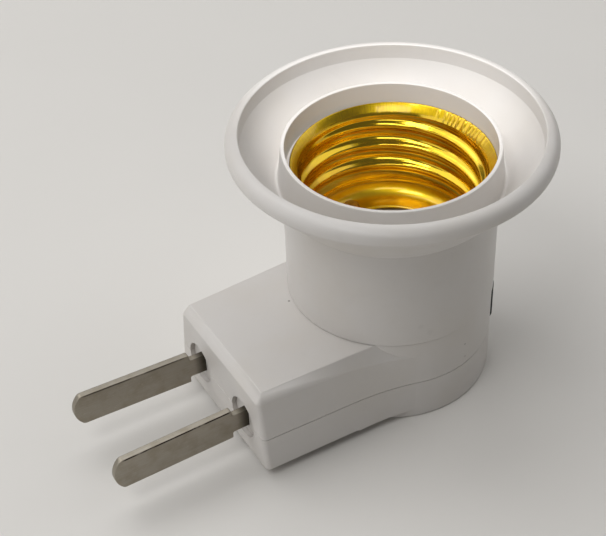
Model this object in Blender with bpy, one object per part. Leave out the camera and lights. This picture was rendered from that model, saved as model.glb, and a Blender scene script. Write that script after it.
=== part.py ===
"""Plug-in lamp holder.

A white L-shaped housing: an upper base and a lower cover that part at the height of
the pins, and a lamp cup with a flared rim on top. A rolled E27 screw shell sits in the
cup. Two flat pins turn in round hubs at the plug face, and a rocker switch sits in the
back of the round base. Metres, +Z up. The origin is on the cup's axis, on the plane
that the base stands on. The pins point along -X.
"""

import math

import bmesh
import bpy
from mathutils import Matrix, Vector

# Clearances and facets
SEAT_GAP = 0.0003
ROUND_STEPS = 48
MEDIUM_ROUND_STEPS = 24
SMALL_ROUND_STEPS = 14
CORNER_STEPS = 4
BLEND_STEPS = 6
OVERCUT = 0.001
JOIN_LAP = 0.0001
SHARP_ANGLE = math.radians(32)
HOUSING_HALVES = ("upper_base", "lower_cover")

# Housing: the round base, the plug block in front of it and the cover below
BASE_RADIUS = 0.01485
PARTING_HEIGHT = 0.00685
BASE_HEIGHT = 0.0146
BLOCK_LENGTH = 0.0287
BLOCK_HALF_WIDTH = 0.01208
BLOCK_CLEARANCE = 0.0015
SIDE_TAPER = math.radians(2.0)
SIDE_DRAFT = math.radians(7.8)
CORNER_RADIUS = 0.0008
MIN_CORNER_RADIUS = 0.0002
BLEND_RADIUS = 0.0400
CHAMFER_HEIGHT = 0.0015
CHAMFER_DEPTH = 0.0011
CHAMFER_ROOT_DROP = 0.0010
CHAMFER_ROOT_X = -0.0058
CHAMFER_EVEN_LENGTH = 0.0080
TOP_HALF_WIDTH = 0.0104
BLOCK_ROOT_X = -0.0023
BLOCK_ROOT_HALF_WIDTH = 0.0114
HOUSING_WALL = 0.0018
TOP_PLATE = 0.0016
COVER_FLOOR = 0.0012
LIP_THICKNESS = 0.0007
LIP_HEIGHT = 0.0010
PLATE_OPENING_RADIUS = 0.0085

# Lamp cup: barrel, flared rim, dish and collar
CUP_RADIUS = 0.0150
CUP_HEIGHT = 0.0410
LIP_EDGE_RADIUS = 0.02059
BEAD_RADIUS = 0.0019
BEAD_UNDER_RADIUS = 0.0006
LIP_WALL_DROP = 0.00218
LIP_WALL_DRAFT = 0.00012
DISH_ROOT_HEIGHT = 0.0330
DISH_WALL = 0.0017
DISH_SAG = 0.0009
COLLAR_ROOT_RADIUS = 0.0156
COLLAR_HEIGHT = 0.03834
COLLAR_BORE_RADIUS = 0.01448
COLLAR_WALL = 0.00052
CUP_BORE_RADIUS = 0.0139
SHELL_SEAT_HEIGHT = 0.0346
CUP_LEDGE = 0.0016
THROAT_BORE_RADIUS = 0.0072
THROAT_WALL = 0.0010
THROAT_DEPTH = 0.0012

# Screw shell: rolled E27 thread
THREAD_PITCH = 0.003629
THREAD_RADIUS = 0.01275
THREAD_WAVE = 0.0005
THREAD_STEPS = 18
SHELL_SHEET = 0.0003
SHELL_STEPS = 36
FLARE_RADIUS = 0.0139
FLARE_HEIGHT = 0.0355
THREAD_TOP_HEIGHT = 0.0335
SHELL_FLOOR_BEND = 0.0013
SHELL_FLOOR_RADIUS = 0.0087

# Contact base under the shell, with its centre contact and rivets
CONTACT_BASE_THICKNESS = 0.0029
CONTACT_BASE_MARGIN = 0.00035
WELL_RADIUS = 0.0076
WELL_FLOOR = 0.0012
RIVET_RADIUS = 0.0008
RIVET_HEAD_RADIUS = 0.0013
RIVET_HEAD = 0.0005
SHELL_RIVET_OFFSET = 0.0104
CENTRE_RIVET_OFFSET = 0.0046
TONGUE_SHEET = 0.0004
TONGUE_WIDTH = 0.0040
TONGUE_FOOT = 0.0032
TONGUE_RISE = 0.0019
TONGUE_REACH = 0.0050
TONGUE_TIP = 0.0018
TONGUE_TIP_DROP = 0.0008

# Pins and the hubs that they turn in
PIN_PITCH = 0.0127
PIN_WIDTH = 0.0053
PIN_SHEET = 0.00095
PIN_LENGTH = 0.01674
PIN_STANDOFF = 0.00189
PIN_TIP_BULGE = 0.0012
PIN_NECK_WIDTH = 0.0032
PIN_TAIL_WIDTH = 0.0024
PIN_NECK_DEPTH = 0.0018
PIN_TAIL_DEPTH = 0.0057
FAR_PIN_LIFT = 0.043
FAR_PIN_SPREAD = 0.014
HUB_HOLE_RADIUS = 0.0031
HUB_RECESS = 0.00065
HUB_FLANGE_LEDGE = 0.0005
HUB_FLANGE = 0.0010
HUB_TAIL_RADIUS = 0.0022
HUB_TAIL_LENGTH = 0.0018
SADDLE_THICKNESS = 0.0010

# Contact strips
STRIP_SHEET = 0.0005
STRIP_WIDTH = 0.0030
STRIP_LEAF = 0.0032
LEAF_BEND = 0.0018
EYELET_WIDTH = 0.0030
STRIP_POST_X = -0.0165
STRIP_POST_SIZE = 0.0026
RISER_OFFSET = 0.0056
STRIP_BEND_RUN = 0.0015

# Rocker switch in the back of the round base
SWITCH_LENGTH = 0.0150
SWITCH_HEIGHT = 0.0086
SWITCH_CENTRE_HEIGHT = 0.00905
SWITCH_FRONT_X = 0.01355
BEZEL_THICKNESS = 0.0012
BEZEL_CORNER_RADIUS = 0.0014
BEZEL_OVERHANG = 0.0008
SWITCH_DEPTH = 0.0085
SWITCH_WALL = 0.0007
SEAT_WALL = 0.0016
ROCKER_TILT = math.radians(9.5)
ROCKER_REACH = 0.0057
ROCKER_FACE = 0.0021
ROCKER_PIVOT_DEPTH = 0.0016
ROCKER_SKIRT = 0.0010
ROCKER_BOSS_WIDTH = 0.0034
ROCKER_BOSS_DEPTH = 0.0022
ROCKER_STUD_RADIUS = 0.0007
PLUNGER_RADIUS = 0.0009
PLUNGER_REACH = 0.0034
ARM_SHEET = 0.0004
ARM_HALF_LENGTH = 0.0046
ARM_WIDTH = 0.0030
ARM_RATIO = 0.6
TERMINAL_SHEET = 0.0005
TERMINAL_WIDTH = 0.0026
TERMINAL_TAB = 0.0039
OUTER_TERMINAL_OFFSET = 0.0043

# Screws
SCREW_RADIUS = 0.0008
SCREW_HEAD_RADIUS = 0.0016
SCREW_HEAD = 0.0012
SCREW_HEAD_EDGE = 0.0004
SCREW_RECESS_WIDTH = 0.0004
SCREW_RECESS_LENGTH = 0.0019
SCREW_LENGTH = 0.0080
SCREW_BOSS_WALL = 0.0011
SCREW_PAD_HEIGHT = 0.0029
SCREW_PAD_LEDGE = 0.0012
BLOCK_SCREW_X = -0.0205
REAR_SCREW_X = 0.0030
REAR_SCREW_Y = 0.0102
HOLDER_SCREW_OFFSET = 0.0080
HOLDER_SCREW_LENGTH = 0.0060

# Heights and places that follow
COVER_TOP = PARTING_HEIGHT - SEAT_GAP / 2
UPPER_BOTTOM = PARTING_HEIGHT + SEAT_GAP / 2
CAVITY_FLOOR = BLOCK_CLEARANCE + COVER_FLOOR
CAVITY_CEILING = BASE_HEIGHT - TOP_PLATE
CUP_BOTTOM = BASE_HEIGHT + SEAT_GAP
LEDGE_TOP = CUP_BOTTOM + CUP_LEDGE
CONTACT_BASE_BOTTOM = LEDGE_TOP + SEAT_GAP
CONTACT_BASE_TOP = CONTACT_BASE_BOTTOM + CONTACT_BASE_THICKNESS
CONTACT_BASE_FLOOR = CONTACT_BASE_BOTTOM + WELL_FLOOR
SHELL_FLOOR_HEIGHT = CONTACT_BASE_TOP + SEAT_GAP
THREAD_END_HEIGHT = SHELL_FLOOR_HEIGHT + SHELL_SHEET + SHELL_FLOOR_BEND
EYELET_TOP = CONTACT_BASE_BOTTOM - 2 * SEAT_GAP
EYELET_BOTTOM = EYELET_TOP - TONGUE_SHEET
PIN_OFFSET = PIN_PITCH / 2
HUB_FLANGE_RADIUS = HUB_HOLE_RADIUS + HUB_FLANGE_LEDGE
HUB_FACE_X = -BLOCK_LENGTH + HUB_RECESS
WALL_BACK_X = -BLOCK_LENGTH + HOUSING_WALL
FLANGE_FRONT_X = WALL_BACK_X + SEAT_GAP
FLANGE_BACK_X = FLANGE_FRONT_X + HUB_FLANGE
SADDLE_FRONT_X = FLANGE_BACK_X + SEAT_GAP
SADDLE_BACK_X = SADDLE_FRONT_X + SADDLE_THICKNESS
PIN_TAIL_X = -BLOCK_LENGTH + PIN_TAIL_DEPTH
LEAF_X = PIN_TAIL_X + SEAT_GAP + STRIP_SHEET / 2
STRIP_BOTTOM = PARTING_HEIGHT + SEAT_GAP * 2
STRIP_TOP = STRIP_BOTTOM + STRIP_WIDTH
INNER_HALF_WIDTH = BLOCK_HALF_WIDTH - math.tan(SIDE_DRAFT) * STRIP_WIDTH - HOUSING_WALL
STRIP_SIDE_OFFSET = INNER_HALF_WIDTH - SEAT_GAP - STRIP_POST_SIZE / 2
SEAT_X = SWITCH_FRONT_X - BEZEL_THICKNESS - SEAT_GAP
REAR_WALL_X = SEAT_X - SEAT_WALL
SWITCH_BACK_X = SWITCH_FRONT_X - BEZEL_THICKNESS - SWITCH_DEPTH
SWITCH_BODY_LENGTH = SWITCH_LENGTH - 2 * BEZEL_OVERHANG
SWITCH_BODY_HEIGHT = SWITCH_HEIGHT - 2 * BEZEL_OVERHANG
PIVOT_X = SWITCH_FRONT_X - ROCKER_PIVOT_DEPTH
ROCKER_WIDTH = SWITCH_BODY_HEIGHT - 2 * SWITCH_WALL - 2 * SEAT_GAP
ARM_REST = ARM_RATIO * ROCKER_TILT
PLUNGER_TIP = PLUNGER_REACH * math.cos(ROCKER_TILT)
PLUNGER_SWING = PLUNGER_REACH * math.sin(ROCKER_TILT)
ARM_X = PIVOT_X - PLUNGER_TIP - SEAT_GAP - ARM_SHEET / 2 + PLUNGER_SWING * math.tan(ARM_REST)
TERMINAL_BACK_X = SWITCH_BACK_X - TERMINAL_TAB


def clear_scene():
    for old in list(bpy.data.objects):
        bpy.data.objects.remove(old, do_unlink=True)


# Materials


def finish_material(name, colour, roughness, metallic):
    material = bpy.data.materials.new(name)
    material.use_nodes = True
    shader = material.node_tree.nodes["Principled BSDF"]
    shader.inputs["Base Color"].default_value = (*colour, 1.0)
    shader.inputs["Roughness"].default_value = roughness
    shader.inputs["Metallic"].default_value = metallic
    material.diffuse_color = (*colour, 1.0)
    return material


def white_plastic(name):
    return finish_material(name, (0.80, 0.80, 0.79), 0.35, 0.0)


def black_plastic(name):
    return finish_material(name, (0.015, 0.015, 0.016), 0.35, 0.0)


def grey_ceramic(name):
    return finish_material(name, (0.62, 0.60, 0.56), 0.6, 0.0)


def golden_sheet(name):
    return finish_material(name, (0.85, 0.62, 0.10), 0.22, 1.0)


def brass(name):
    return finish_material(name, (0.72, 0.52, 0.24), 0.32, 1.0)


def nickel(name):
    return finish_material(name, (0.44, 0.42, 0.39), 0.34, 1.0)


def zinc_steel(name):
    return finish_material(name, (0.60, 0.60, 0.62), 0.35, 1.0)


# Making, joining and cutting solids


def make_object(name, solid, paint=None, parent=None):
    bmesh.ops.remove_doubles(solid, verts=solid.verts, dist=0.000002)
    bmesh.ops.dissolve_degenerate(solid, edges=solid.edges, dist=0.000001)
    bmesh.ops.recalc_face_normals(solid, faces=solid.faces)
    mesh = bpy.data.meshes.new(name)
    solid.to_mesh(mesh)
    solid.free()
    mesh.shade_smooth()
    mesh.set_sharp_from_angle(angle=SHARP_ANGLE)
    piece = bpy.data.objects.new(name, mesh)
    bpy.context.collection.objects.link(piece)
    if paint:
        mesh.materials.append(paint(name + "_finish"))
    if parent:
        piece.parent = parent
    return piece


def boolean(piece, operation, name, solid):
    """The tool is an object of its own that is hidden and drawn as wire. The two halves
    of the housing need the manifold solver: the exact one leaves open edges where their
    lips and walls lie in one plane."""
    tool = make_object(f"{piece.name}_{name}", solid)
    tool.hide_render = True
    tool.display_type = "WIRE"
    tool.parent = piece.parent
    modifier = piece.modifiers.new(name, "BOOLEAN")
    modifier.operation = operation
    modifier.solver = "MANIFOLD" if piece.name in HOUSING_HALVES else "EXACT"
    modifier.object = tool
    return tool


def cut(piece, name, solid):
    return boolean(piece, "DIFFERENCE", name, solid)


def join(piece, name, solid):
    return boolean(piece, "UNION", name, solid)


def loft(rings):
    """A closed solid through rings of as many points each, capped at both ends."""
    solid = bmesh.new()
    loops = [[solid.verts.new(point) for point in ring] for ring in rings]
    count = len(rings[0])
    for lower, upper in zip(loops, loops[1:]):
        for i in range(count):
            j = (i + 1) % count
            solid.faces.new((lower[i], lower[j], upper[j], upper[i]))
    solid.faces.new(list(reversed(loops[0])))
    solid.faces.new(loops[-1])
    return solid


def prism(outline, low, high):
    return loft([[(x, y, low) for x, y in outline], [(x, y, high) for x, y in outline]])


def box(low, high):
    corners = [(low[0], low[1]), (high[0], low[1]), (high[0], high[1]), (low[0], high[1])]
    return prism(corners, low[2], high[2])


def revolve(profile, steps):
    """A solid turned about Z from a closed profile of (radius, height) points."""
    solid = bmesh.new()
    points = [solid.verts.new((radius, 0.0, height)) for radius, height in profile]
    edges = [solid.edges.new((a, b)) for a, b in zip(points, points[1:] + points[:1])]
    turning = [edge for edge in edges if max(v.co.x for v in edge.verts) > 0.0]
    for edge in edges:
        if edge not in turning:
            solid.edges.remove(edge)
    bmesh.ops.spin(
        solid,
        geom=turning + points,
        cent=(0, 0, 0),
        axis=(0, 0, 1),
        angle=math.tau,
        steps=steps,
        use_merge=True,
    )
    return solid


def cylinder(radius, low, high, steps=ROUND_STEPS, centre=(0.0, 0.0)):
    ring = [
        (
            centre[0] + radius * math.cos(math.tau * i / steps),
            centre[1] + radius * math.sin(math.tau * i / steps),
        )
        for i in range(steps)
    ]
    return prism(ring, low, high)


def along_x(solid, y=0.0, z=0.0):
    """Turns a solid made about Z so that its height runs along X."""
    turn = Matrix(((0, 0, 1, 0), (0, 1, 0, y), (-1, 0, 0, z), (0, 0, 0, 1)))
    bmesh.ops.transform(solid, matrix=turn, verts=solid.verts)
    return solid


def upright(solid, y=0.0):
    """Turns a prism of (x, z) points, made along Z, so that it runs along Y."""
    turn = Matrix(((1, 0, 0, 0), (0, 0, 1, y), (0, 1, 0, 0), (0, 0, 0, 1)))
    bmesh.ops.transform(solid, matrix=turn, verts=solid.verts)
    return solid


def arc(centre, radius, start, end, steps):
    return [
        (
            centre[0] + radius * math.cos(start + (end - start) * i / steps),
            centre[1] + radius * math.sin(start + (end - start) * i / steps),
        )
        for i in range(steps + 1)
    ]


def band(path, thickness):
    """The outline of a sheet of even thickness bent along a flat path."""
    points = [Vector(point) for point in path]
    sides = ([], [])
    for i, point in enumerate(points):
        before = (point - points[i - 1]).normalized() if i else None
        after = (points[i + 1] - point).normalized() if i + 1 < len(points) else None
        ahead = before or after
        onward = after or before
        normal = (Vector((-ahead.y, ahead.x)) + Vector((-onward.y, onward.x))).normalized()
        reach = thickness / 2 / normal.dot(Vector((-ahead.y, ahead.x)))
        sides[0].append(point + normal * reach)
        sides[1].append(point - normal * reach)
    return [tuple(point) for point in sides[1] + list(reversed(sides[0]))]


# Outlines of the housing


def block_half_width(height):
    return BLOCK_HALF_WIDTH - math.tan(SIDE_DRAFT) * (height - PARTING_HEIGHT)


def side_outline(height, inset=0.0):
    """The near side of the block: its front corner, straight side and hollow blend,
    which ends where it touches the round base."""
    half_width = block_half_width(height) - inset
    front = -BLOCK_LENGTH + inset
    radius = BASE_RADIUS * math.cos(math.pi / ROUND_STEPS) - inset
    blend = BLEND_RADIUS + inset
    corner = max(CORNER_RADIUS - inset / 2, MIN_CORNER_RADIUS)
    # The blend's centre lies on the outer side, one blend radius from the side line
    # and base radius + blend radius from the axis.
    slope = SIDE_TAPER
    line_offset = (half_width - front * math.tan(slope)) * math.cos(slope)
    swing = math.asin(min((line_offset + blend) / (radius + blend), 1.0))
    centre_angle = math.pi - swing + slope
    centre = ((radius + blend) * math.cos(centre_angle), (radius + blend) * math.sin(centre_angle))
    start = centre_angle - math.pi
    line_end = -math.pi / 2 + slope
    blend_points = arc(centre, blend, line_end, start, BLEND_STEPS)
    corner_centre = (front + corner, half_width - corner)
    corner_points = arc(corner_centre, corner, math.pi, math.pi / 2 + slope, CORNER_STEPS)
    return [(x, -y) for x, y in corner_points + blend_points]


def mirrored(points):
    return [(x, -y) for x, y in reversed(points)]


def block_outline(height, inset=0.0):
    """The plug block, which runs on into the round base."""
    side = side_outline(height, inset)
    root = [(BLOCK_ROOT_X, -BLOCK_ROOT_HALF_WIDTH)]
    return side + root + mirrored(root) + mirrored(side)


def keyhole_outline(height, inset, rear):
    """The block and the round base in one, cut off flat at the rear."""
    side = side_outline(height, inset)
    radius = BASE_RADIUS - inset
    touch = math.atan2(side[-1][1], side[-1][0])
    round_part = arc((0, 0), radius, touch, -touch, 36)[1:-1]
    round_part = [(min(x, rear), y) for x, y in round_part]
    return side + round_part + mirrored(side)


def keyhole_prism(inset, low, high, rear):
    return loft(
        [[(x, y, z) for x, y in keyhole_outline(z, inset, rear)] for z in (low, high)]
    )


def chamfer_height(x):
    """The chamfer's lower edge is level along the front and drops towards its root."""
    even_x = -BLOCK_LENGTH + CHAMFER_EVEN_LENGTH
    along = (x - even_x) / (CHAMFER_ROOT_X - even_x)
    drop = CHAMFER_ROOT_DROP * min(max(along, 0.0), 1.0)
    return BASE_HEIGHT - CHAMFER_HEIGHT - drop


def block_solid(low, high, chamfered):
    """With a chamfer, the sides end at its lower edge and slope in to the top face."""
    rings = [[(x, y, low) for x, y in block_outline(low)]]
    if not chamfered:
        rings.append([(x, y, high) for x, y in block_outline(high)])
        return loft(rings)
    edge = []
    top = []
    for x, y in block_outline(high - CHAMFER_HEIGHT):
        edge.append((x, y, chamfer_height(x)))
        top_x = max(x, -BLOCK_LENGTH + CHAMFER_DEPTH)
        half_width = TOP_HALF_WIDTH + math.tan(SIDE_TAPER) * (top_x + BLOCK_LENGTH)
        top.append((top_x, math.copysign(half_width, y), high))
    return loft(rings + [edge, top])


# Places of the screws


def cover_screw_places():
    return (
        ("front", BLOCK_SCREW_X, 0.0, BLOCK_CLEARANCE),
        ("near", REAR_SCREW_X, -REAR_SCREW_Y, 0.0),
        ("far", REAR_SCREW_X, REAR_SCREW_Y, 0.0),
    )


def holder_screw_places():
    return (
        ("near", -HOLDER_SCREW_OFFSET, -HOLDER_SCREW_OFFSET),
        ("far", -HOLDER_SCREW_OFFSET, HOLDER_SCREW_OFFSET),
    )


def sides():
    return (("near", -1.0), ("far", 1.0))


def cut_pin_and_switch_openings(piece):
    """What both halves of the housing share: hub holes, saddles, window and seat."""
    for name, side in sides():
        y = side * PIN_OFFSET
        hole_back = WALL_BACK_X + SEAT_GAP / 2
        hole = cylinder(HUB_HOLE_RADIUS, -BLOCK_LENGTH - OVERCUT, hole_back, MEDIUM_ROUND_STEPS)
        cut(piece, f"hub_hole_{name}", along_x(hole, y, PARTING_HEIGHT))
        saddle = cylinder(
            HUB_TAIL_RADIUS + SEAT_GAP,
            SADDLE_FRONT_X - OVERCUT / 2,
            SADDLE_BACK_X + OVERCUT / 2,
            MEDIUM_ROUND_STEPS,
        )
        cut(piece, f"hub_saddle_{name}", along_x(saddle, y, PARTING_HEIGHT))
    half_length = SWITCH_BODY_LENGTH / 2 + SEAT_GAP
    half_height = SWITCH_BODY_HEIGHT / 2 + SEAT_GAP
    window = box(
        (REAR_WALL_X - 2 * OVERCUT, -half_length, SWITCH_CENTRE_HEIGHT - half_height),
        (BASE_RADIUS + OVERCUT, half_length, SWITCH_CENTRE_HEIGHT + half_height),
    )
    cut(piece, "switch_window", window)
    seat_half_height = SWITCH_HEIGHT / 2 + SEAT_GAP
    seat = box(
        (SEAT_X, -BASE_RADIUS, SWITCH_CENTRE_HEIGHT - seat_half_height),
        (BASE_RADIUS + OVERCUT, BASE_RADIUS, SWITCH_CENTRE_HEIGHT + seat_half_height),
    )
    cut(piece, "switch_seat", seat)


def saddle_rib(low, high, half):
    return box((SADDLE_FRONT_X, -half, low), (SADDLE_BACK_X, half, high))


# Housing


def make_upper_base():
    piece = make_object("upper_base", cylinder(BASE_RADIUS, UPPER_BOTTOM, BASE_HEIGHT), white_plastic)
    join(piece, "block", block_solid(UPPER_BOTTOM, BASE_HEIGHT, True))
    rebate = HOUSING_WALL - LIP_THICKNESS - SEAT_GAP
    rebate_rear = REAR_WALL_X + LIP_THICKNESS + SEAT_GAP
    rebate_top = COVER_TOP + LIP_HEIGHT + SEAT_GAP
    cut(piece, "rebate", keyhole_prism(rebate, UPPER_BOTTOM - OVERCUT, rebate_top, rebate_rear))
    cut(piece, "cavity", keyhole_prism(HOUSING_WALL, UPPER_BOTTOM - 2 * OVERCUT, CAVITY_CEILING, REAR_WALL_X))
    rib_half = block_half_width(COVER_TOP + LIP_HEIGHT) - HOUSING_WALL - SEAT_GAP
    rib_top = CAVITY_CEILING + TOP_PLATE / 2
    join(piece, "saddle_rib", saddle_rib(UPPER_BOTTOM, rib_top, rib_half))
    boss_radius = SCREW_RADIUS + SEAT_GAP + SCREW_BOSS_WALL
    for name, x, y, underside in cover_screw_places():
        boss_bottom = underside + SCREW_PAD_HEIGHT + SEAT_GAP
        boss = cylinder(boss_radius, boss_bottom, rib_top, MEDIUM_ROUND_STEPS, (x, y))
        join(piece, f"boss_{name}", boss)
        hole_top = underside + SCREW_HEAD + SCREW_LENGTH + 2 * SEAT_GAP
        hole = cylinder(
            SCREW_RADIUS + SEAT_GAP, boss_bottom - OVERCUT, hole_top, SMALL_ROUND_STEPS, (x, y)
        )
        cut(piece, f"boss_hole_{name}", hole)
    for name, x, y in holder_screw_places():
        hole = cylinder(
            SCREW_RADIUS + SEAT_GAP,
            CAVITY_CEILING - OVERCUT,
            BASE_HEIGHT + OVERCUT,
            SMALL_ROUND_STEPS,
            (x, y),
        )
        cut(piece, f"holder_hole_{name}", hole)
    opening = cylinder(
        PLATE_OPENING_RADIUS, CAVITY_CEILING - OVERCUT, BASE_HEIGHT + OVERCUT, MEDIUM_ROUND_STEPS
    )
    cut(piece, "throat_opening", opening)
    cut_pin_and_switch_openings(piece)
    return piece


def make_lower_cover():
    piece = make_object("lower_cover", cylinder(BASE_RADIUS, 0.0, COVER_TOP), white_plastic)
    join(piece, "block", block_solid(BLOCK_CLEARANCE, COVER_TOP, False))
    lip_inset = HOUSING_WALL - LIP_THICKNESS
    lip_rear = REAR_WALL_X + LIP_THICKNESS
    lip_bottom = CAVITY_FLOOR - COVER_FLOOR / 2
    join(piece, "lip", keyhole_prism(lip_inset, lip_bottom, COVER_TOP + LIP_HEIGHT, lip_rear))
    cut(piece, "cavity", keyhole_prism(HOUSING_WALL, CAVITY_FLOOR, COVER_TOP + 2 * OVERCUT, REAR_WALL_X))
    rib_half = block_half_width(COVER_TOP) - HOUSING_WALL / 2
    join(piece, "saddle_rib", saddle_rib(lip_bottom, COVER_TOP, rib_half))
    for name, side in sides():
        join(piece, f"strip_post_{name}", strip_post(side))
        cut(piece, f"strip_slot_{name}", strip_slot(side))
    for name, x, y, underside in cover_screw_places():
        pad_radius = SCREW_HEAD_RADIUS + SEAT_GAP + SCREW_BOSS_WALL
        pad_top = underside + SCREW_PAD_HEIGHT
        pad_bottom = underside + COVER_FLOOR / 2
        pad = cylinder(pad_radius, pad_bottom, pad_top, MEDIUM_ROUND_STEPS, (x, y))
        join(piece, f"pad_{name}", pad)
        hole = cylinder(
            SCREW_RADIUS + SEAT_GAP, underside - OVERCUT, pad_top + OVERCUT, SMALL_ROUND_STEPS, (x, y)
        )
        cut(piece, f"pad_hole_{name}", hole)
        seat_radius = SCREW_HEAD_RADIUS + SEAT_GAP
        seat_top = pad_top - SCREW_PAD_LEDGE
        seat = cylinder(seat_radius, underside - OVERCUT, seat_top, MEDIUM_ROUND_STEPS, (x, y))
        cut(piece, f"head_seat_{name}", seat)
    cut_pin_and_switch_openings(piece)
    return piece


def strip_post(side):
    y = side * STRIP_SIDE_OFFSET
    half = STRIP_POST_SIZE / 2
    low = (STRIP_POST_X - half, y - half, CAVITY_FLOOR - COVER_FLOOR / 2)
    high = (STRIP_POST_X + half, y + half, STRIP_BOTTOM + STRIP_WIDTH / 2)
    return box(low, high)


def strip_slot(side):
    y = side * STRIP_SIDE_OFFSET
    half = STRIP_SHEET / 2 + SEAT_GAP
    low = (STRIP_POST_X - STRIP_POST_SIZE, y - half, STRIP_BOTTOM - SEAT_GAP)
    high = (STRIP_POST_X + STRIP_POST_SIZE, y + half, STRIP_TOP)
    return box(low, high)


def rim_profile():
    """Down the outer side: the round bead, its tight under edge and the flare."""
    bead_centre = (LIP_EDGE_RADIUS, CUP_HEIGHT - BEAD_RADIUS)
    bead = arc(bead_centre, BEAD_RADIUS, math.pi / 2, 0.0, 6)
    outer = LIP_EDGE_RADIUS + BEAD_RADIUS
    under_centre = (outer - BEAD_UNDER_RADIUS, bead_centre[1])
    under = arc(under_centre, BEAD_UNDER_RADIUS, 0.0, -math.pi / 2, 3)[1:]
    return bead + under


def dish_curve(inner, outer, sag, steps):
    """A shallow hollow curve from a root point out to a rim point."""
    points = []
    for i in range(steps + 1):
        share = i / steps
        radius = inner[0] + (outer[0] - inner[0]) * share
        height = inner[1] + (outer[1] - inner[1]) * share
        points.append((radius, height - sag * math.sin(math.pi * share)))
    return points


def cup_profile():
    dish_edge = (LIP_EDGE_RADIUS - LIP_WALL_DRAFT, CUP_HEIGHT - LIP_WALL_DROP)
    dish_root = (COLLAR_ROOT_RADIUS, DISH_ROOT_HEIGHT)
    rim = rim_profile()
    under_edge = (dish_edge[0], rim[-1][1])
    flare_root = (CUP_RADIUS, DISH_ROOT_HEIGHT - DISH_WALL - COLLAR_ROOT_RADIUS + CUP_RADIUS)
    flare = dish_curve(flare_root, under_edge, DISH_SAG, 5)
    flare.reverse()
    outside = rim + flare + [(CUP_RADIUS, CUP_BOTTOM)]
    throat_outer = THROAT_BORE_RADIUS + THROAT_WALL
    bottom = [
        (throat_outer, CUP_BOTTOM),
        (throat_outer, CUP_BOTTOM - THROAT_DEPTH),
        (THROAT_BORE_RADIUS, CUP_BOTTOM - THROAT_DEPTH),
        (THROAT_BORE_RADIUS, LEDGE_TOP),
    ]
    collar_outer = COLLAR_BORE_RADIUS + COLLAR_WALL
    inside = [
        (CUP_BORE_RADIUS, LEDGE_TOP),
        (CUP_BORE_RADIUS, SHELL_SEAT_HEIGHT),
        (COLLAR_BORE_RADIUS, SHELL_SEAT_HEIGHT),
        (COLLAR_BORE_RADIUS, COLLAR_HEIGHT),
        (collar_outer, COLLAR_HEIGHT),
    ]
    dish = dish_curve(dish_root, dish_edge, DISH_SAG, 6)
    return outside + bottom + inside + dish


def make_lamp_cup():
    piece = make_object("lamp_cup", revolve(cup_profile(), ROUND_STEPS), white_plastic)
    for name, side in sides():
        inner = THROAT_BORE_RADIUS - 0.001
        outer = SHELL_RIVET_OFFSET + RIVET_HEAD_RADIUS + 2 * SEAT_GAP
        half = RIVET_HEAD_RADIUS + 2 * SEAT_GAP
        y_low, y_high = sorted((side * inner, side * outer))
        slot = box((-half, y_low, CUP_BOTTOM - THROAT_DEPTH / 2), (half, y_high, LEDGE_TOP + OVERCUT))
        cut(piece, f"rivet_slot_{name}", slot)
    for name, x, y in holder_screw_places():
        hole = cylinder(
            SCREW_RADIUS + SEAT_GAP, CUP_BOTTOM - OVERCUT, LEDGE_TOP + OVERCUT, SMALL_ROUND_STEPS, (x, y)
        )
        cut(piece, f"holder_hole_{name}", hole)
    return piece


# Socket


def shell_path():
    """The shell's inner face as (radius, height, thread depth), from rim to floor."""
    path = []
    neck_radius = THREAD_RADIUS + THREAD_WAVE / 4
    flare_steps = 3
    for i in range(flare_steps):
        share = i / flare_steps
        radius = neck_radius + (FLARE_RADIUS - neck_radius) * (1 - share) ** 2
        height = FLARE_HEIGHT + (THREAD_TOP_HEIGHT - FLARE_HEIGHT) * share
        path.append((radius, height, 0.0))
    for i in range(THREAD_STEPS + 1):
        share = i / THREAD_STEPS
        height = THREAD_TOP_HEIGHT + (THREAD_END_HEIGHT - THREAD_TOP_HEIGHT) * share
        fade = min(1.0, 6 * share, 6 * (1 - share))
        path.append((THREAD_RADIUS, height, THREAD_WAVE * fade))
    bend_centre = (THREAD_RADIUS - SHELL_FLOOR_BEND, THREAD_END_HEIGHT)
    bend = arc(bend_centre, SHELL_FLOOR_BEND, 0.0, -math.pi / 2, 3)[1:]
    path.extend((radius, height, 0.0) for radius, height in bend)
    path.append((SHELL_FLOOR_RADIUS, SHELL_FLOOR_HEIGHT + SHELL_SHEET, 0.0))
    return path


def make_screw_shell():
    inner = shell_path()
    outer = []
    for i, (radius, height, wave) in enumerate(inner):
        before = Vector(inner[max(i - 1, 0)][:2])
        after = Vector(inner[min(i + 1, len(inner) - 1)][:2])
        along = (after - before).normalized()
        outer.append((radius - along.y * SHELL_SHEET, height + along.x * SHELL_SHEET, wave))
    section = inner + list(reversed(outer))
    solid = bmesh.new()
    rows = []
    for radius, height, wave in section:
        row = []
        for step in range(SHELL_STEPS):
            turn = math.tau * step / SHELL_STEPS
            bulge = wave * math.cos(math.tau * height / THREAD_PITCH - turn)
            reach = radius + bulge
            row.append(solid.verts.new((reach * math.cos(turn), reach * math.sin(turn), height)))
        rows.append(row)
    for row, following in zip(rows, rows[1:] + rows[:1]):
        for step in range(SHELL_STEPS):
            onward = (step + 1) % SHELL_STEPS
            solid.faces.new((row[step], row[onward], following[onward], following[step]))
    return make_object("screw_shell", solid, golden_sheet)


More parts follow.
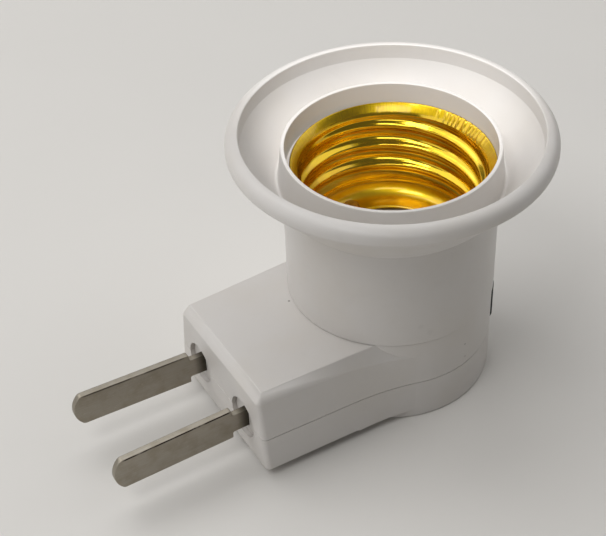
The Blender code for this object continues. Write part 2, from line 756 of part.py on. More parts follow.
def make_contact_base():
    radius = CUP_BORE_RADIUS - CONTACT_BASE_MARGIN
    profile = [
        (radius, CONTACT_BASE_TOP),
        (radius, CONTACT_BASE_BOTTOM),
        (0.0, CONTACT_BASE_BOTTOM),
        (0.0, CONTACT_BASE_FLOOR),
        (WELL_RADIUS, CONTACT_BASE_FLOOR),
        (WELL_RADIUS, CONTACT_BASE_TOP),
    ]
    piece = make_object("contact_base", revolve(profile, MEDIUM_ROUND_STEPS), grey_ceramic)
    places = [(0.0, side * SHELL_RIVET_OFFSET) for _, side in sides()]
    places.append((-CENTRE_RIVET_OFFSET, 0.0))
    for i, place in enumerate(places):
        hole = cylinder(
            RIVET_RADIUS + SEAT_GAP,
            CONTACT_BASE_BOTTOM - OVERCUT,
            CONTACT_BASE_TOP + OVERCUT,
            SMALL_ROUND_STEPS,
            place,
        )
        cut(piece, f"rivet_hole_{i}", hole)
    for name, x, y in holder_screw_places():
        hole_top = CONTACT_BASE_TOP - SCREW_RADIUS
        hole = cylinder(
            SCREW_RADIUS + SEAT_GAP, CONTACT_BASE_BOTTOM - OVERCUT, hole_top, SMALL_ROUND_STEPS, (x, y)
        )
        cut(piece, f"holder_hole_{name}", hole)
    return piece


def rivet(name, place, top):
    """A head on top, a shank through the stack and a closed head below the eyelet."""
    tail_top = EYELET_BOTTOM - SEAT_GAP
    profile = [
        (0.0, top + RIVET_HEAD),
        (RIVET_HEAD_RADIUS, top + RIVET_HEAD),
        (RIVET_HEAD_RADIUS, top),
        (RIVET_RADIUS, top),
        (RIVET_RADIUS, tail_top),
        (RIVET_HEAD_RADIUS, tail_top),
        (RIVET_HEAD_RADIUS, tail_top - RIVET_HEAD),
        (0.0, tail_top - RIVET_HEAD),
    ]
    solid = revolve(profile, SMALL_ROUND_STEPS)
    bmesh.ops.translate(solid, verts=solid.verts, vec=(place[0], place[1], 0.0))
    return make_object(name, solid, brass)


def make_rivets():
    shell_top = SHELL_FLOOR_HEIGHT + SHELL_SHEET + SEAT_GAP
    for name, side in sides():
        rivet(f"shell_rivet_{name}", (0.0, side * SHELL_RIVET_OFFSET), shell_top)
    tongue_top = CONTACT_BASE_FLOOR + TONGUE_SHEET + 2 * SEAT_GAP
    rivet("centre_rivet", (-CENTRE_RIVET_OFFSET, 0.0), tongue_top)


def cut_shell_floor(piece):
    for name, side in sides():
        hole = cylinder(
            RIVET_RADIUS + SEAT_GAP,
            SHELL_FLOOR_HEIGHT - OVERCUT,
            SHELL_FLOOR_HEIGHT + SHELL_SHEET + OVERCUT / 2,
            SMALL_ROUND_STEPS,
            (0.0, side * SHELL_RIVET_OFFSET),
        )
        cut(piece, f"rivet_hole_{name}", hole)


def make_centre_contact():
    """A sprung tongue: a riveted foot, a rising arm and a turned-down tip."""
    level = CONTACT_BASE_FLOOR + SEAT_GAP + TONGUE_SHEET / 2
    foot_front = -CENTRE_RIVET_OFFSET + TONGUE_FOOT / 2
    path = [
        (-CENTRE_RIVET_OFFSET - TONGUE_FOOT / 2, level),
        (foot_front, level),
        (TONGUE_REACH - 2 * TONGUE_TIP, level + TONGUE_RISE),
        (TONGUE_REACH - TONGUE_TIP, level + TONGUE_RISE),
        (TONGUE_REACH, level + TONGUE_RISE - TONGUE_TIP_DROP),
    ]
    solid = prism(band(path, TONGUE_SHEET), -TONGUE_WIDTH / 2, TONGUE_WIDTH / 2)
    piece = make_object("centre_contact", upright(solid), brass)
    hole = cylinder(
        RIVET_RADIUS + SEAT_GAP,
        level - OVERCUT / 2,
        level + OVERCUT / 2,
        SMALL_ROUND_STEPS,
        (-CENTRE_RIVET_OFFSET, 0.0),
    )
    cut(piece, "rivet_hole", hole)
    return piece


# Pins and hubs


def pin_outline():
    """Side view as (x, z) about the pin's own axis: a tip that bulges in a flat arc
    beyond the straight edges, a neck and a tail."""
    root = -BLOCK_LENGTH - PIN_STANDOFF
    tip = root - PIN_LENGTH
    half = PIN_WIDTH / 2
    neck = PIN_NECK_WIDTH / 2
    tail = PIN_TAIL_WIDTH / 2
    neck_end = -BLOCK_LENGTH + PIN_NECK_DEPTH
    tip_radius = (half**2 + PIN_TIP_BULGE**2) / (2 * PIN_TIP_BULGE)
    tip_centre = (tip - PIN_TIP_BULGE + tip_radius, 0.0)
    swing = math.asin(half / tip_radius)
    upper = arc(tip_centre, tip_radius, math.pi, math.pi - swing, 5)[1:]
    upper += [(root, half), (root, neck), (neck_end, neck), (neck_end, tail), (PIN_TAIL_X, tail)]
    return [(tip - PIN_TIP_BULGE, 0.0)] + upper + [(x, -z) for x, z in reversed(upper)]


def make_pin(name, side, lift, spread):
    """The part outside the hub is bent by the lift and the spread."""
    outline = pin_outline()
    solid = prism(outline, -PIN_SHEET / 2, PIN_SHEET / 2)
    upright(solid)
    for vert in solid.verts:
        outside = max(HUB_FACE_X - vert.co.x, 0.0)
        vert.co.y += side * (PIN_OFFSET + outside * spread)
        vert.co.z += PARTING_HEIGHT + outside * lift
    return make_object(name, solid, nickel)


def make_pin_hub(name, side):
    journal = HUB_HOLE_RADIUS - SEAT_GAP
    tail_end = FLANGE_BACK_X + HUB_TAIL_LENGTH
    profile = [
        (0.0, HUB_FACE_X),
        (journal, HUB_FACE_X),
        (journal, FLANGE_FRONT_X),
        (HUB_FLANGE_RADIUS, FLANGE_FRONT_X),
        (HUB_FLANGE_RADIUS, FLANGE_BACK_X),
        (HUB_TAIL_RADIUS, FLANGE_BACK_X),
        (HUB_TAIL_RADIUS, tail_end),
        (0.0, tail_end),
    ]
    solid = along_x(revolve(profile, MEDIUM_ROUND_STEPS), side * PIN_OFFSET, PARTING_HEIGHT)
    piece = make_object(name, solid, white_plastic)
    half_sheet = PIN_SHEET / 2 + SEAT_GAP
    neck_back = -BLOCK_LENGTH + PIN_NECK_DEPTH + SEAT_GAP
    y = side * PIN_OFFSET
    for part, half, x_low, x_high in (
        ("neck", PIN_NECK_WIDTH / 2 + SEAT_GAP, HUB_FACE_X - OVERCUT, neck_back),
        ("tail", PIN_TAIL_WIDTH / 2 + SEAT_GAP, HUB_FACE_X - OVERCUT, tail_end + OVERCUT),
    ):
        slot = box(
            (x_low, y - half_sheet, PARTING_HEIGHT - half),
            (x_high, y + half_sheet, PARTING_HEIGHT + half),
        )
        cut(piece, f"{part}_slot", slot)
    return piece


def make_pins():
    for name, side in sides():
        lift = FAR_PIN_LIFT if name == "far" else 0.0
        spread = FAR_PIN_SPREAD if name == "far" else 0.0
        make_pin(f"pin_{name}", side, lift, spread)
        make_pin_hub(f"pin_hub_{name}", side)


# Contact strips


def strip_path(side, end):
    """Seen from above: a leaf behind the pin's tail, then along the block to its end."""
    return [
        (LEAF_X, side * (PIN_OFFSET - STRIP_LEAF / 2)),
        (LEAF_X, side * (PIN_OFFSET + STRIP_LEAF / 2)),
        (LEAF_X + LEAF_BEND, side * STRIP_SIDE_OFFSET),
        (STRIP_POST_X + STRIP_POST_SIZE, side * STRIP_SIDE_OFFSET),
        *end,
    ]


def make_live_strip():
    """From the far pin to the switch's outer terminal, on its +Y face."""
    beside = OUTER_TERMINAL_OFFSET + TERMINAL_SHEET / 2 + SEAT_GAP + STRIP_SHEET / 2
    end = [
        (TERMINAL_BACK_X - STRIP_BEND_RUN, beside),
        (SWITCH_BACK_X - 2 * SEAT_GAP, beside),
    ]
    outline = band(strip_path(1.0, end), STRIP_SHEET)
    return make_object("live_strip", prism(outline, STRIP_BOTTOM, STRIP_TOP), brass)


def make_neutral_strip():
    """From the near pin, up through the throat to the shell's near rivet."""
    riser_half = EYELET_WIDTH / 2
    end = [(-riser_half - STRIP_BEND_RUN, -RISER_OFFSET), (riser_half, -RISER_OFFSET)]
    outline = band(strip_path(-1.0, end), STRIP_SHEET)
    piece = make_object("neutral_strip", prism(outline, STRIP_BOTTOM, STRIP_TOP), brass)
    riser = box(
        (-riser_half, -RISER_OFFSET - STRIP_SHEET / 2, STRIP_TOP - STRIP_WIDTH / 2),
        (riser_half - JOIN_LAP, -RISER_OFFSET + STRIP_SHEET / 2, EYELET_TOP - TONGUE_SHEET / 4),
    )
    join(piece, "riser", riser)
    eyelet = box(
        (-riser_half, -SHELL_RIVET_OFFSET - RIVET_HEAD_RADIUS, EYELET_BOTTOM),
        (riser_half, -RISER_OFFSET + STRIP_SHEET / 2 + JOIN_LAP, EYELET_TOP),
    )
    join(piece, "eyelet", eyelet)
    hole = cylinder(
        RIVET_RADIUS + SEAT_GAP,
        EYELET_BOTTOM - OVERCUT / 2,
        EYELET_TOP + OVERCUT / 2,
        SMALL_ROUND_STEPS,
        (0.0, -SHELL_RIVET_OFFSET),
    )
    cut(piece, "eyelet_hole", hole)
    return piece


def make_switch_strip():
    """From the switch's common terminal up to the centre rivet."""
    beside = -(TERMINAL_SHEET / 2 + SEAT_GAP + STRIP_SHEET / 2)
    half_tab = TERMINAL_WIDTH / 2
    riser_x = -CENTRE_RIVET_OFFSET + RIVET_HEAD_RADIUS + SEAT_GAP + half_tab
    path = [
        (SWITCH_BACK_X - 2 * SEAT_GAP, SWITCH_CENTRE_HEIGHT),
        (riser_x, SWITCH_CENTRE_HEIGHT),
        (riser_x, EYELET_TOP - TONGUE_SHEET / 4),
    ]
    solid = prism(band(path, TERMINAL_WIDTH), -STRIP_SHEET / 2, STRIP_SHEET / 2)
    piece = make_object("switch_strip", upright(solid, beside), brass)
    low = (-CENTRE_RIVET_OFFSET - EYELET_WIDTH / 2, beside - STRIP_SHEET, EYELET_BOTTOM)
    high = (riser_x, EYELET_WIDTH / 2, EYELET_TOP)
    join(piece, "eyelet", box(low, high))
    hole = cylinder(
        RIVET_RADIUS + SEAT_GAP,
        EYELET_BOTTOM - OVERCUT / 2,
        EYELET_TOP + OVERCUT / 2,
        SMALL_ROUND_STEPS,
        (-CENTRE_RIVET_OFFSET, 0.0),
    )
    cut(piece, "eyelet_hole", hole)
    return piece


# Rocker switch


def rounded_plate(half_length, half_height, radius, low, high):
    """A plate in the YZ plane with round corners, from x = low to x = high."""
    points = []
    for quarter, (across, up) in enumerate(((1, 1), (-1, 1), (-1, -1), (1, -1))):
        centre = (across * (half_length - radius), up * (half_height - radius))
        start = quarter * math.pi / 2
        points += arc(centre, radius, start, start + math.pi / 2, 4)
    rings = [[(x, y, SWITCH_CENTRE_HEIGHT + z) for y, z in points] for x in (low, high)]
    return loft(rings)


def make_switch_frame():
    bezel_back = SWITCH_FRONT_X - BEZEL_THICKNESS
    bezel = rounded_plate(
        SWITCH_LENGTH / 2, SWITCH_HEIGHT / 2, BEZEL_CORNER_RADIUS, bezel_back, SWITCH_FRONT_X
    )
    piece = make_object("switch_frame", bezel, black_plastic)
    half_length = SWITCH_BODY_LENGTH / 2
    half_height = SWITCH_BODY_HEIGHT / 2
    z = SWITCH_CENTRE_HEIGHT
    body = box(
        (SWITCH_BACK_X, -half_length, z - half_height),
        (bezel_back + BEZEL_THICKNESS / 2, half_length, z + half_height),
    )
    join(piece, "body", body)
    inner_length = half_length - SWITCH_WALL
    inner_height = half_height - SWITCH_WALL
    well = box(
        (SWITCH_BACK_X + SWITCH_WALL, -inner_length, z - inner_height),
        (SWITCH_FRONT_X + OVERCUT, inner_length, z + inner_height),
    )
    cut(piece, "well", well)
    stud_holes = cylinder(
        ROCKER_STUD_RADIUS + SEAT_GAP,
        z - half_height - OVERCUT,
        z + half_height + OVERCUT,
        SMALL_ROUND_STEPS,
        (PIVOT_X, 0.0),
    )
    cut(piece, "stud_holes", stud_holes)
    slot_half = TERMINAL_WIDTH / 2 + SEAT_GAP
    for name, y in (("common", 0.0), ("outer", OUTER_TERMINAL_OFFSET)):
        side = TERMINAL_SHEET / 2 + SEAT_GAP
        slot = box(
            (SWITCH_BACK_X - OVERCUT, y - side, z - slot_half),
            (SWITCH_BACK_X + SWITCH_WALL + OVERCUT, y + side, z + slot_half),
        )
        cut(piece, f"slot_{name}", slot)
    return piece


def rocker_outline():
    """Seen from above about its pivot: two flats that meet in a shallow valley, round
    end skirts that clear the frame as it tilts, and a boss for the plunger."""
    slope = math.tan(ROCKER_TILT)
    edge_y = 0.0
    for _ in range(12):
        edge_y = math.sqrt(ROCKER_REACH**2 - (ROCKER_FACE + slope * edge_y) ** 2)
    edge_x = ROCKER_FACE + slope * edge_y
    top_angle = math.atan2(edge_y, edge_x)
    skirt_angle = math.pi / 2 + math.asin(ROCKER_SKIRT / ROCKER_REACH)
    skirt = arc((0.0, 0.0), ROCKER_REACH, top_angle, skirt_angle, 5)
    half_boss = ROCKER_BOSS_WIDTH / 2
    right = [(ROCKER_FACE, 0.0)] + skirt
    right += [(-ROCKER_SKIRT, half_boss), (-ROCKER_BOSS_DEPTH, half_boss)]
    return right + [(x, -y) for x, y in reversed(right[1:])]


def make_rocker(pivot):
    half = ROCKER_WIDTH / 2
    piece = make_object("rocker", prism(rocker_outline(), -half, half), black_plastic, pivot)
    stud_reach = SWITCH_BODY_HEIGHT / 2 - SEAT_GAP
    stud = cylinder(ROCKER_STUD_RADIUS, -stud_reach, stud_reach, SMALL_ROUND_STEPS)
    join(piece, "studs", stud)
    bore = cylinder(
        PLUNGER_RADIUS + SEAT_GAP, -ROCKER_BOSS_DEPTH - OVERCUT, -SEAT_GAP, SMALL_ROUND_STEPS
    )
    cut(piece, "plunger_bore", along_x(bore))
    plunger = cylinder(PLUNGER_RADIUS, -PLUNGER_REACH, -2 * SEAT_GAP, SMALL_ROUND_STEPS)
    make_object("plunger", along_x(plunger), brass, pivot)
    return piece


def make_switch_arm(pivot):
    """A see-saw plate that tips over the common terminal's edge."""
    low = (-ARM_SHEET / 2, -ARM_HALF_LENGTH, -ARM_WIDTH / 2)
    high = (ARM_SHEET / 2, ARM_HALF_LENGTH, ARM_WIDTH / 2)
    return make_object("switch_arm", box(low, high), brass, pivot)


def make_terminals():
    z = SWITCH_CENTRE_HEIGHT
    half_width = TERMINAL_WIDTH / 2
    half_sheet = TERMINAL_SHEET / 2
    under_arm = ARM_X - ARM_SHEET / 2 - SEAT_GAP
    arm_drop = OUTER_TERMINAL_OFFSET * math.tan(ARM_REST) + half_sheet * math.tan(ARM_REST)
    edge = SEAT_GAP / 3
    for name, y, top in (
        ("common_terminal", 0.0, under_arm - edge),
        ("outer_terminal", OUTER_TERMINAL_OFFSET, under_arm - arm_drop - edge),
    ):
        low = (TERMINAL_BACK_X, y - half_sheet, z - half_width)
        high = (top, y + half_sheet, z + half_width)
        make_object(name, box(low, high), brass)


def pivot_empty(name, x, angle):
    pivot = bpy.data.objects.new(name, None)
    pivot.empty_display_size = 0.004
    pivot.location = (x, 0.0, SWITCH_CENTRE_HEIGHT)
    pivot.rotation_euler = (0.0, 0.0, angle)
    bpy.context.collection.objects.link(pivot)
    return pivot


def make_switch():
    make_switch_frame()
    make_rocker(pivot_empty("rocker_pivot", PIVOT_X, -ROCKER_TILT))
    make_switch_arm(pivot_empty("arm_pivot", ARM_X, ARM_REST))
    make_terminals()


# Screws


def screw(name, place, head_bottom, length):
    """A cheese-head screw with a cross recess, head down."""
    x, y = place
    head_top = head_bottom + SCREW_HEAD
    profile = [
        (0.0, head_top + length),
        (SCREW_RADIUS / 2, head_top + length),
        (SCREW_RADIUS, head_top + length - SCREW_RADIUS),
        (SCREW_RADIUS, head_top),
        (SCREW_HEAD_RADIUS, head_top),
        (SCREW_HEAD_RADIUS, head_bottom + SCREW_HEAD_EDGE),
        (SCREW_HEAD_RADIUS - SCREW_HEAD_EDGE, head_bottom),
        (0.0, head_bottom),
    ]
    solid = revolve(profile, SMALL_ROUND_STEPS)
    bmesh.ops.translate(solid, verts=solid.verts, vec=(x, y, 0.0))
    piece = make_object(name, solid, zinc_steel)
    half_slot = SCREW_RECESS_WIDTH / 2
    reach = SCREW_RECESS_LENGTH / 2
    deep = head_bottom + SCREW_HEAD / 2
    cut(
        piece,
        "recess_x",
        box((x - reach, y - half_slot, head_bottom - OVERCUT), (x + reach, y + half_slot, deep)),
    )
    cut(
        piece,
        "recess_y",
        box((x - half_slot, y - reach, head_bottom - OVERCUT), (x + half_slot, y + reach, deep)),
    )
    return piece


def make_screws():
    for name, x, y, underside in cover_screw_places():
        ledge = underside + SCREW_PAD_HEIGHT - SCREW_PAD_LEDGE
        screw(f"cover_screw_{name}", (x, y), ledge - SEAT_GAP - SCREW_HEAD, SCREW_LENGTH)
    for name, x, y in holder_screw_places():
        bottom = CAVITY_CEILING - SEAT_GAP - SCREW_HEAD
        screw(f"holder_screw_{name}", (x, y), bottom, HOLDER_SCREW_LENGTH)


def main():
    clear_scene()
    make_upper_base()
    make_lower_cover()
    make_lamp_cup()
    shell = make_screw_shell()
    cut_shell_floor(shell)
    make_contact_base()
    make_rivets()
    make_centre_contact()
    make_pins()
    make_live_strip()
    make_neutral_strip()
    make_switch_strip()
    make_switch()
    make_screws()


main()
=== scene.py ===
"""The looks of a plug-in lamp holder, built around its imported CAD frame.

Laid out as an add-on: sizes and colours are properties, each piece or group of like
pieces has an operator, and main() runs them in order. Shape sizes below are in
millimetres and MM turns them into Blender's metres. +Z is up, the cup's axis is the
Z axis and the pins point along -X.
"""

import math

import bmesh
import bpy
from mathutils import Matrix, Vector


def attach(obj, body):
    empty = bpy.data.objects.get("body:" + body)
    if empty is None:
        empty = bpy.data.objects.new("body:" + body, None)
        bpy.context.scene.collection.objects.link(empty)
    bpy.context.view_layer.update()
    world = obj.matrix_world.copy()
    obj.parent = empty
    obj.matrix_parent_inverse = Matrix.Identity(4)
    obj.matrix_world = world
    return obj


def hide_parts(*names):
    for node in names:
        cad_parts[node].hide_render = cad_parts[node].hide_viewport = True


bl_info = {
    "name": "Plug-in Lamp Holder",
    "version": (1, 0, 0),
    "blender": (4, 5, 0),
    "location": "View3D > Sidebar > Lamp Holder",
    "description": "Builds the looks of a plug-in lamp holder around its CAD frame",
    "category": "Object",
}

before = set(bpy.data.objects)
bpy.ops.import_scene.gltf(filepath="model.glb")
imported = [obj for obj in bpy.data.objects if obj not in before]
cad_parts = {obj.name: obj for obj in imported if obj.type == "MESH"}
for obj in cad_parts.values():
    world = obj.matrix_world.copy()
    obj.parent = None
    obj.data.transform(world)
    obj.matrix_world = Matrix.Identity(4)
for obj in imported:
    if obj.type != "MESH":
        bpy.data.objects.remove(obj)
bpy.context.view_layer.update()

MM = 0.001
HAIR = 0.001 * MM  # less than this counts as nothing
SHARP = 32.0  # degrees between faces that still shade smoothly

# Housing
BASE_RADIUS = 14.85
BASE_HEIGHT = 14.6
PARTING_HEIGHT = 6.85
BLOCK_LENGTH = 28.7
BLOCK_HALF_WIDTH = 12.08
BLOCK_CLEARANCE = 1.5
BLOCK_CORNER = 0.8
BLOCK_ROOT = (-2.3, 11.4)
BLEND_RADIUS = 40.0
SIDE_TAPER = math.radians(2.0)
SIDE_DRAFT = math.radians(7.8)
DRAFT_FULL_X = -15.9
DRAFT_END_X = -4.9
CHAMFER_HEIGHT = 1.5
CHAMFER_DEPTH = 1.1
CHAMFER_DROP = 1.0
CHAMFER_LEVEL_X = -20.7
CHAMFER_ROOT_X = -5.8
TOP_HALF_WIDTH = 10.4
WALL = 1.8
FLOOR_WALL = 1.2
TOP_WALL = 1.6
REAR_WALL_X = 10.45
BOTTOM_ROUND = 0.35
SEAM_ROUND = 0.07
CHAMFER_ROUND = 0.16
TOP_ROUND = 0.14
DRUM_TOP_ROUND = 0.1
DRUM_STEPS = 192
CUP_OPENING = 8.5
PLAY = 0.1
BEYOND = 16.0  # past every wall, for cutters

# Cup
CUP_RADIUS = 15.0
CUP_HEIGHT = 41.0
LIP_RADIUS = 20.59
BEAD_OUTER = 22.49
BEAD_BOTTOM = 38.5
COLLAR_BORE = 14.48
COLLAR_RADIUS = 15.0
COLLAR_HEIGHT = 38.34
COLLAR_ROOT = (15.6, 33.0)
LEDGE_HEIGHT = 16.5
CUP_SEAM = 0.12
SPIGOT_RADIUS = 8.2
SPIGOT_BOTTOM = 13.7
THROAT_RADIUS = 7.2
SOCKET_BORE = 13.9
SOCKET_STEP = 34.6
FLARE_ROOT = (CUP_RADIUS, 30.7)
FLARE_SAG = 0.52
DISH_SAG = 0.58
DISH_DEPTH = 2.18
LIP_WALL = 0.12

# Screw shell
SHELL_SHEET = 0.3
THREAD_PITCH = 3.629
THREAD_RADIUS = 12.75
THREAD_RISE = 1.05
RIDGE_RADIUS = 0.6
HOLLOW_RADIUS = 1.4
SHELL_RIM = (13.98, 35.5)
SHELL_NECK = (12.85, 33.9)
THREAD_TOP = 33.9
THREAD_END = 22.6
SHELL_FLOOR = 20.0
SHELL_FLOOR_RADIUS = 8.7
SHELL_SHIFT = 0.3
SHELL_SHIFT_HEIGHTS = (31.0, 35.0)
SHELL_ROWS = 104
SHELL_STEPS = 288
NECK_FOOT = 33.0
FLARE_CURVE = 1.25
END_BEAD = 0.22
THREAD_START_FADE = 1.5
THREAD_END_FADE = (0.6, 3.0)
CRINKLE_DEPTH = 0.22
CRINKLE_MIDDLE = 8.0
CRINKLE_SPREAD = 23.0
CRINKLE_LOW = (34.1, 34.9)
CRINKLE_HIGH = (35.7, 35.3)
FOLDED_FROM = 34.0
FOLDED_TURN = (-0.3, 0.59)
PHOTO_RIGHT = Vector((0.857, -0.515, 0.0))

# Contact disc, rivets and spring contact
DISC_RADIUS = 13.5
DISC_BOTTOM = 16.8
DISC_TOP = 19.7
WELL_RADIUS = 7.6
WELL_FLOOR = 18.0
RIVET_HEAD = (1.3, 0.62)
RIVET_SHANK = 0.8
RIVET_FOOT = (14.95, 15.4)
TONGUE_WIDTH = 4.0
TONGUE_SHEET = 0.4
TONGUE_PATH = ((-6.2, 18.5), (-3.0, 18.5), (1.4, 20.4), (3.2, 20.4), (5.0, 19.6))

# Pins and hubs
PIN_OFFSET = 6.35
PIN_SHEET = 0.95
PIN_WIDTH = 5.3
PIN_NECK = 3.2
PIN_TAIL = 2.4
PIN_ROOT_X = -30.59
PIN_TIP_X = -47.33
PIN_NECK_X = -26.9
PIN_TAIL_X = -23.0
PIN_TIP_BULGE = 1.2
PIN_TIP_CORNER = 0.6
PIN_CORNER = 0.25
PIN_RIM = 0.09
PIN_CUTS = 14
FAR_LIFT = 0.043
FAR_SPREAD = 0.014
HUB_RADIUS = 3.1
HUB_FACE_X = -28.05
HUB_FLANGE_X = (-26.6, -25.6)
HUB_TAIL = (2.2, -23.8)
HUB_FLANGE_RADIUS = 3.6

# Switch
SWITCH_LENGTH = 15.0
SWITCH_HEIGHT = 8.6
SWITCH_Z = 9.05
SWITCH_FRONT = 13.55
BEZEL = 1.2
SWITCH_BODY = (13.4, 7.0)
SWITCH_BACK = 3.85
SWITCH_WELL = (12.0, 5.6)
ROCKER_PIVOT_X = 11.95
ROCKER_TILT = math.radians(9.5)
ROCKER_REACH = 5.7
ROCKER_FACE = 2.1
ROCKER_WIDTH = 5.0
ROCKER_BOSS = (1.7, 2.2)
ROCKER_SKIRT = 1.0
ROCKER_STUD = (0.7, 3.2)
BEZEL_CORNER = 1.4

# Screws: name, place and the height of the face that they go in from
COVER_SCREWS = (("front", -20.5, 0.0, 1.5), ("near", 3.0, -10.2, 0.0), ("far", 3.0, 10.2, 0.0))
SCREW_RADIUS = 0.8
SCREW_HEAD_RADIUS = 1.6
SCREW_HEAD = 1.2
SCREW_LEDGE = 1.7
SCREW_LENGTH = 8.0
SCREW_PAD = (3.0, 1.2)
CROSS_RECESS = (0.95, 0.2, 0.6)

SIDES = (("near", -1.0), ("far", 1.0))

# Camera, as solved from the photograph
CAMERA_PLACE = (-84.763, -125.238, 147.457)
CAMERA_TURN = (49.0325, 1.9533, -30.9909)
CAMERA_LENS = 81.66


def settings():
    return bpy.context.scene.lamp_holder


# Mesh helpers


def new_piece(name, mesh, sharp=SHARP):
    """Puts a finished mesh into the scene, with its object at the origin."""
    data = bpy.data.meshes.new(name)
    mesh.to_mesh(data)
    mesh.free()
    shade(data, sharp)
    return in_scene(name, data)


def in_scene(name, data):
    made = bpy.data.objects.new(name, data)
    bpy.context.scene.collection.objects.link(made)
    return made


def shade(data, sharp):
    data.shade_smooth()
    data.set_sharp_from_angle(angle=math.radians(sharp))


def share_of(value, low, high):
    """How far a value is on its way from low to high, from 0 to 1."""
    return min(max((value - low) / (high - low), 0.0), 1.0)


def tidy(mesh):
    """Welds doubles and turns all faces outwards."""
    bmesh.ops.remove_doubles(mesh, verts=mesh.verts[:], dist=0.5 * HAIR)
    bmesh.ops.dissolve_degenerate(mesh, edges=mesh.edges[:], dist=0.2 * HAIR)
    bmesh.ops.recalc_face_normals(mesh, faces=mesh.faces[:])
    return mesh


def moved(mesh, *place):
    bmesh.ops.translate(mesh, vec=Vector(place) * MM, verts=mesh.verts[:])
    return mesh


def new_verts(made):
    return [item for item in made if isinstance(item, bmesh.types.BMVert)]


def reach(edge, axis):
    """How far an edge runs along an axis."""
    first, last = edge.verts
    return abs(first.co[axis] - last.co[axis])


def line_to(mesh, start, x, y):
    """Draws an edge on from a vertex and gives its far end."""
    end = mesh.verts.new((x * MM, y * MM, 0.0))
    mesh.edges.new((start, end))
    return end


def rounded(mesh, geometry, width, segments=2, affect="EDGES"):
    bmesh.ops.bevel(
        mesh,
        geom=[item for item in geometry if item.is_valid],
        offset=width * MM,
        offset_type="OFFSET",
        segments=segments,
        profile=0.5,
        affect=affect,
        material=-1,
        clamp_overlap=False,
    )


def outline_face(corners, segments):
    """A face in the XZ plane from (x, z, radius) corners, each rounded to its radius."""
    mesh = bmesh.new()
    verts = [mesh.verts.new((x * MM, 0.0, z * MM)) for x, z, _ in corners]
    mesh.faces.new(verts)
    places = [Vector((x, z)) for x, z, _ in corners]
    for i, (vert, (_, _, radius)) in enumerate(zip(verts, corners)):
        if not radius:
            continue
        inward = (places[i] - places[i - 1]).normalized()
        onward = (places[(i + 1) % len(places)] - places[i]).normalized()
        turn = inward.angle(onward)
        rounded(mesh, [vert], radius * math.tan(turn / 2), segments, "VERTICES")
    return mesh


def full_turn(mesh, steps):
    """Spins a half section all the way round Z."""
    bmesh.ops.spin(
        mesh,
        geom=mesh.verts[:] + mesh.edges[:],
        cent=(0.0, 0.0, 0.0),
        axis=(0.0, 0.0, 1.0),
        dvec=(0.0, 0.0, 0.0),
        angle=math.tau,
        steps=steps,
        use_merge=True,
    )
    return tidy(mesh)


def spun_vert(mesh, start, centre, angle, steps, axis=(0.0, 0.0, 1.0)):
    """Spins a vertex about a line, which leaves an arc of edges behind it."""
    made = bmesh.ops.spin(
        mesh,
        geom=[start],
        cent=[part * MM for part in (*centre, 0.0)[:3]],
        axis=axis,
        dvec=(0.0, 0.0, 0.0),
        angle=angle,
        steps=steps,
        use_merge=False,
    )
    return new_verts(made["geom_last"])[0]


def mirrored(mesh):
    """Adds the other half of an outline, across the XZ plane."""
    geometry = mesh.verts[:] + mesh.edges[:]
    bmesh.ops.mirror(mesh, geom=geometry, axis="Y", matrix=Matrix(), merge_dist=HAIR)


def turned(corners, steps, segments):
    """A solid turned about Z from the rounded corners of its half section."""
    mesh = outline_face(corners, segments)
    bmesh.ops.delete(mesh, geom=mesh.faces[:], context="FACES_ONLY")
    on_axis = [edge for edge in mesh.edges if max(v.co.x for v in edge.verts) < HAIR]
    bmesh.ops.delete(mesh, geom=on_axis, context="EDGES")
    return full_turn(mesh, steps)


def box(low, high):
    """A box between two corners."""
    mesh = bmesh.new()
    bmesh.ops.create_cube(mesh, size=1.0)
    size = Vector(high) - Vector(low)
    bmesh.ops.scale(mesh, vec=size * MM, verts=mesh.verts[:])
    return moved(mesh, *(Vector(high) + Vector(low)) / 2)


def box_along_x(low, high, width, height, y=0.0, z=SWITCH_Z):
    """A box from one x to another, centred on a line along X."""
    half_y, half_z = width / 2, height / 2
    return box((low, y - half_y, z - half_z), (high, y + half_y, z + half_z))


def rod(radius, low, high, place=(0.0, 0.0), steps=48):
    """A plain round rod along Z, used as a cutter."""
    mesh = bmesh.new()
    bmesh.ops.create_cone(
        mesh,
        cap_ends=True,
        segments=steps,
        radius1=radius * MM,
        radius2=radius * MM,
        depth=(high - low) * MM,
    )
    return moved(mesh, *place, (low + high) / 2)


def laid_along_x(mesh, y, z):
    """Lays a solid made about Z down, so that its height runs along X."""
    lay = Matrix(((0, 0, 1, 0), (0, 1, 0, y * MM), (-1, 0, 0, z * MM), (0, 0, 0, 1)))
    bmesh.ops.transform(mesh, matrix=lay, verts=mesh.verts[:])
    return mesh


def combine(piece, mesh, operation="DIFFERENCE"):
    """Joins or cuts a piece with another mesh and keeps the result as the piece's own."""
    tool = new_piece(piece.name + "_tool", mesh)
    step = piece.modifiers.new(operation.title(), "BOOLEAN")
    step.operation = operation
    step.solver = "MANIFOLD"
    step.object = tool
    graph = bpy.context.evaluated_depsgraph_get()
    result = bpy.data.meshes.new_from_object(piece.evaluated_get(graph))
    if not result.polygons:
        raise RuntimeError(f"{piece.name}: {operation} left nothing")
    piece.modifiers.clear()
    old = piece.data
    piece.data = result
    bpy.data.meshes.remove(old)
    bpy.data.objects.remove(tool, do_unlink=True)
    return piece


def smooth_flats(piece, sharp=SHARP):
    """Keeps flats flat next to their rounded edges."""
    shade(piece.data, sharp)
    weighted = piece.modifiers.new("Weighted normals", "WEIGHTED_NORMAL")
    weighted.keep_sharp = True
    return piece


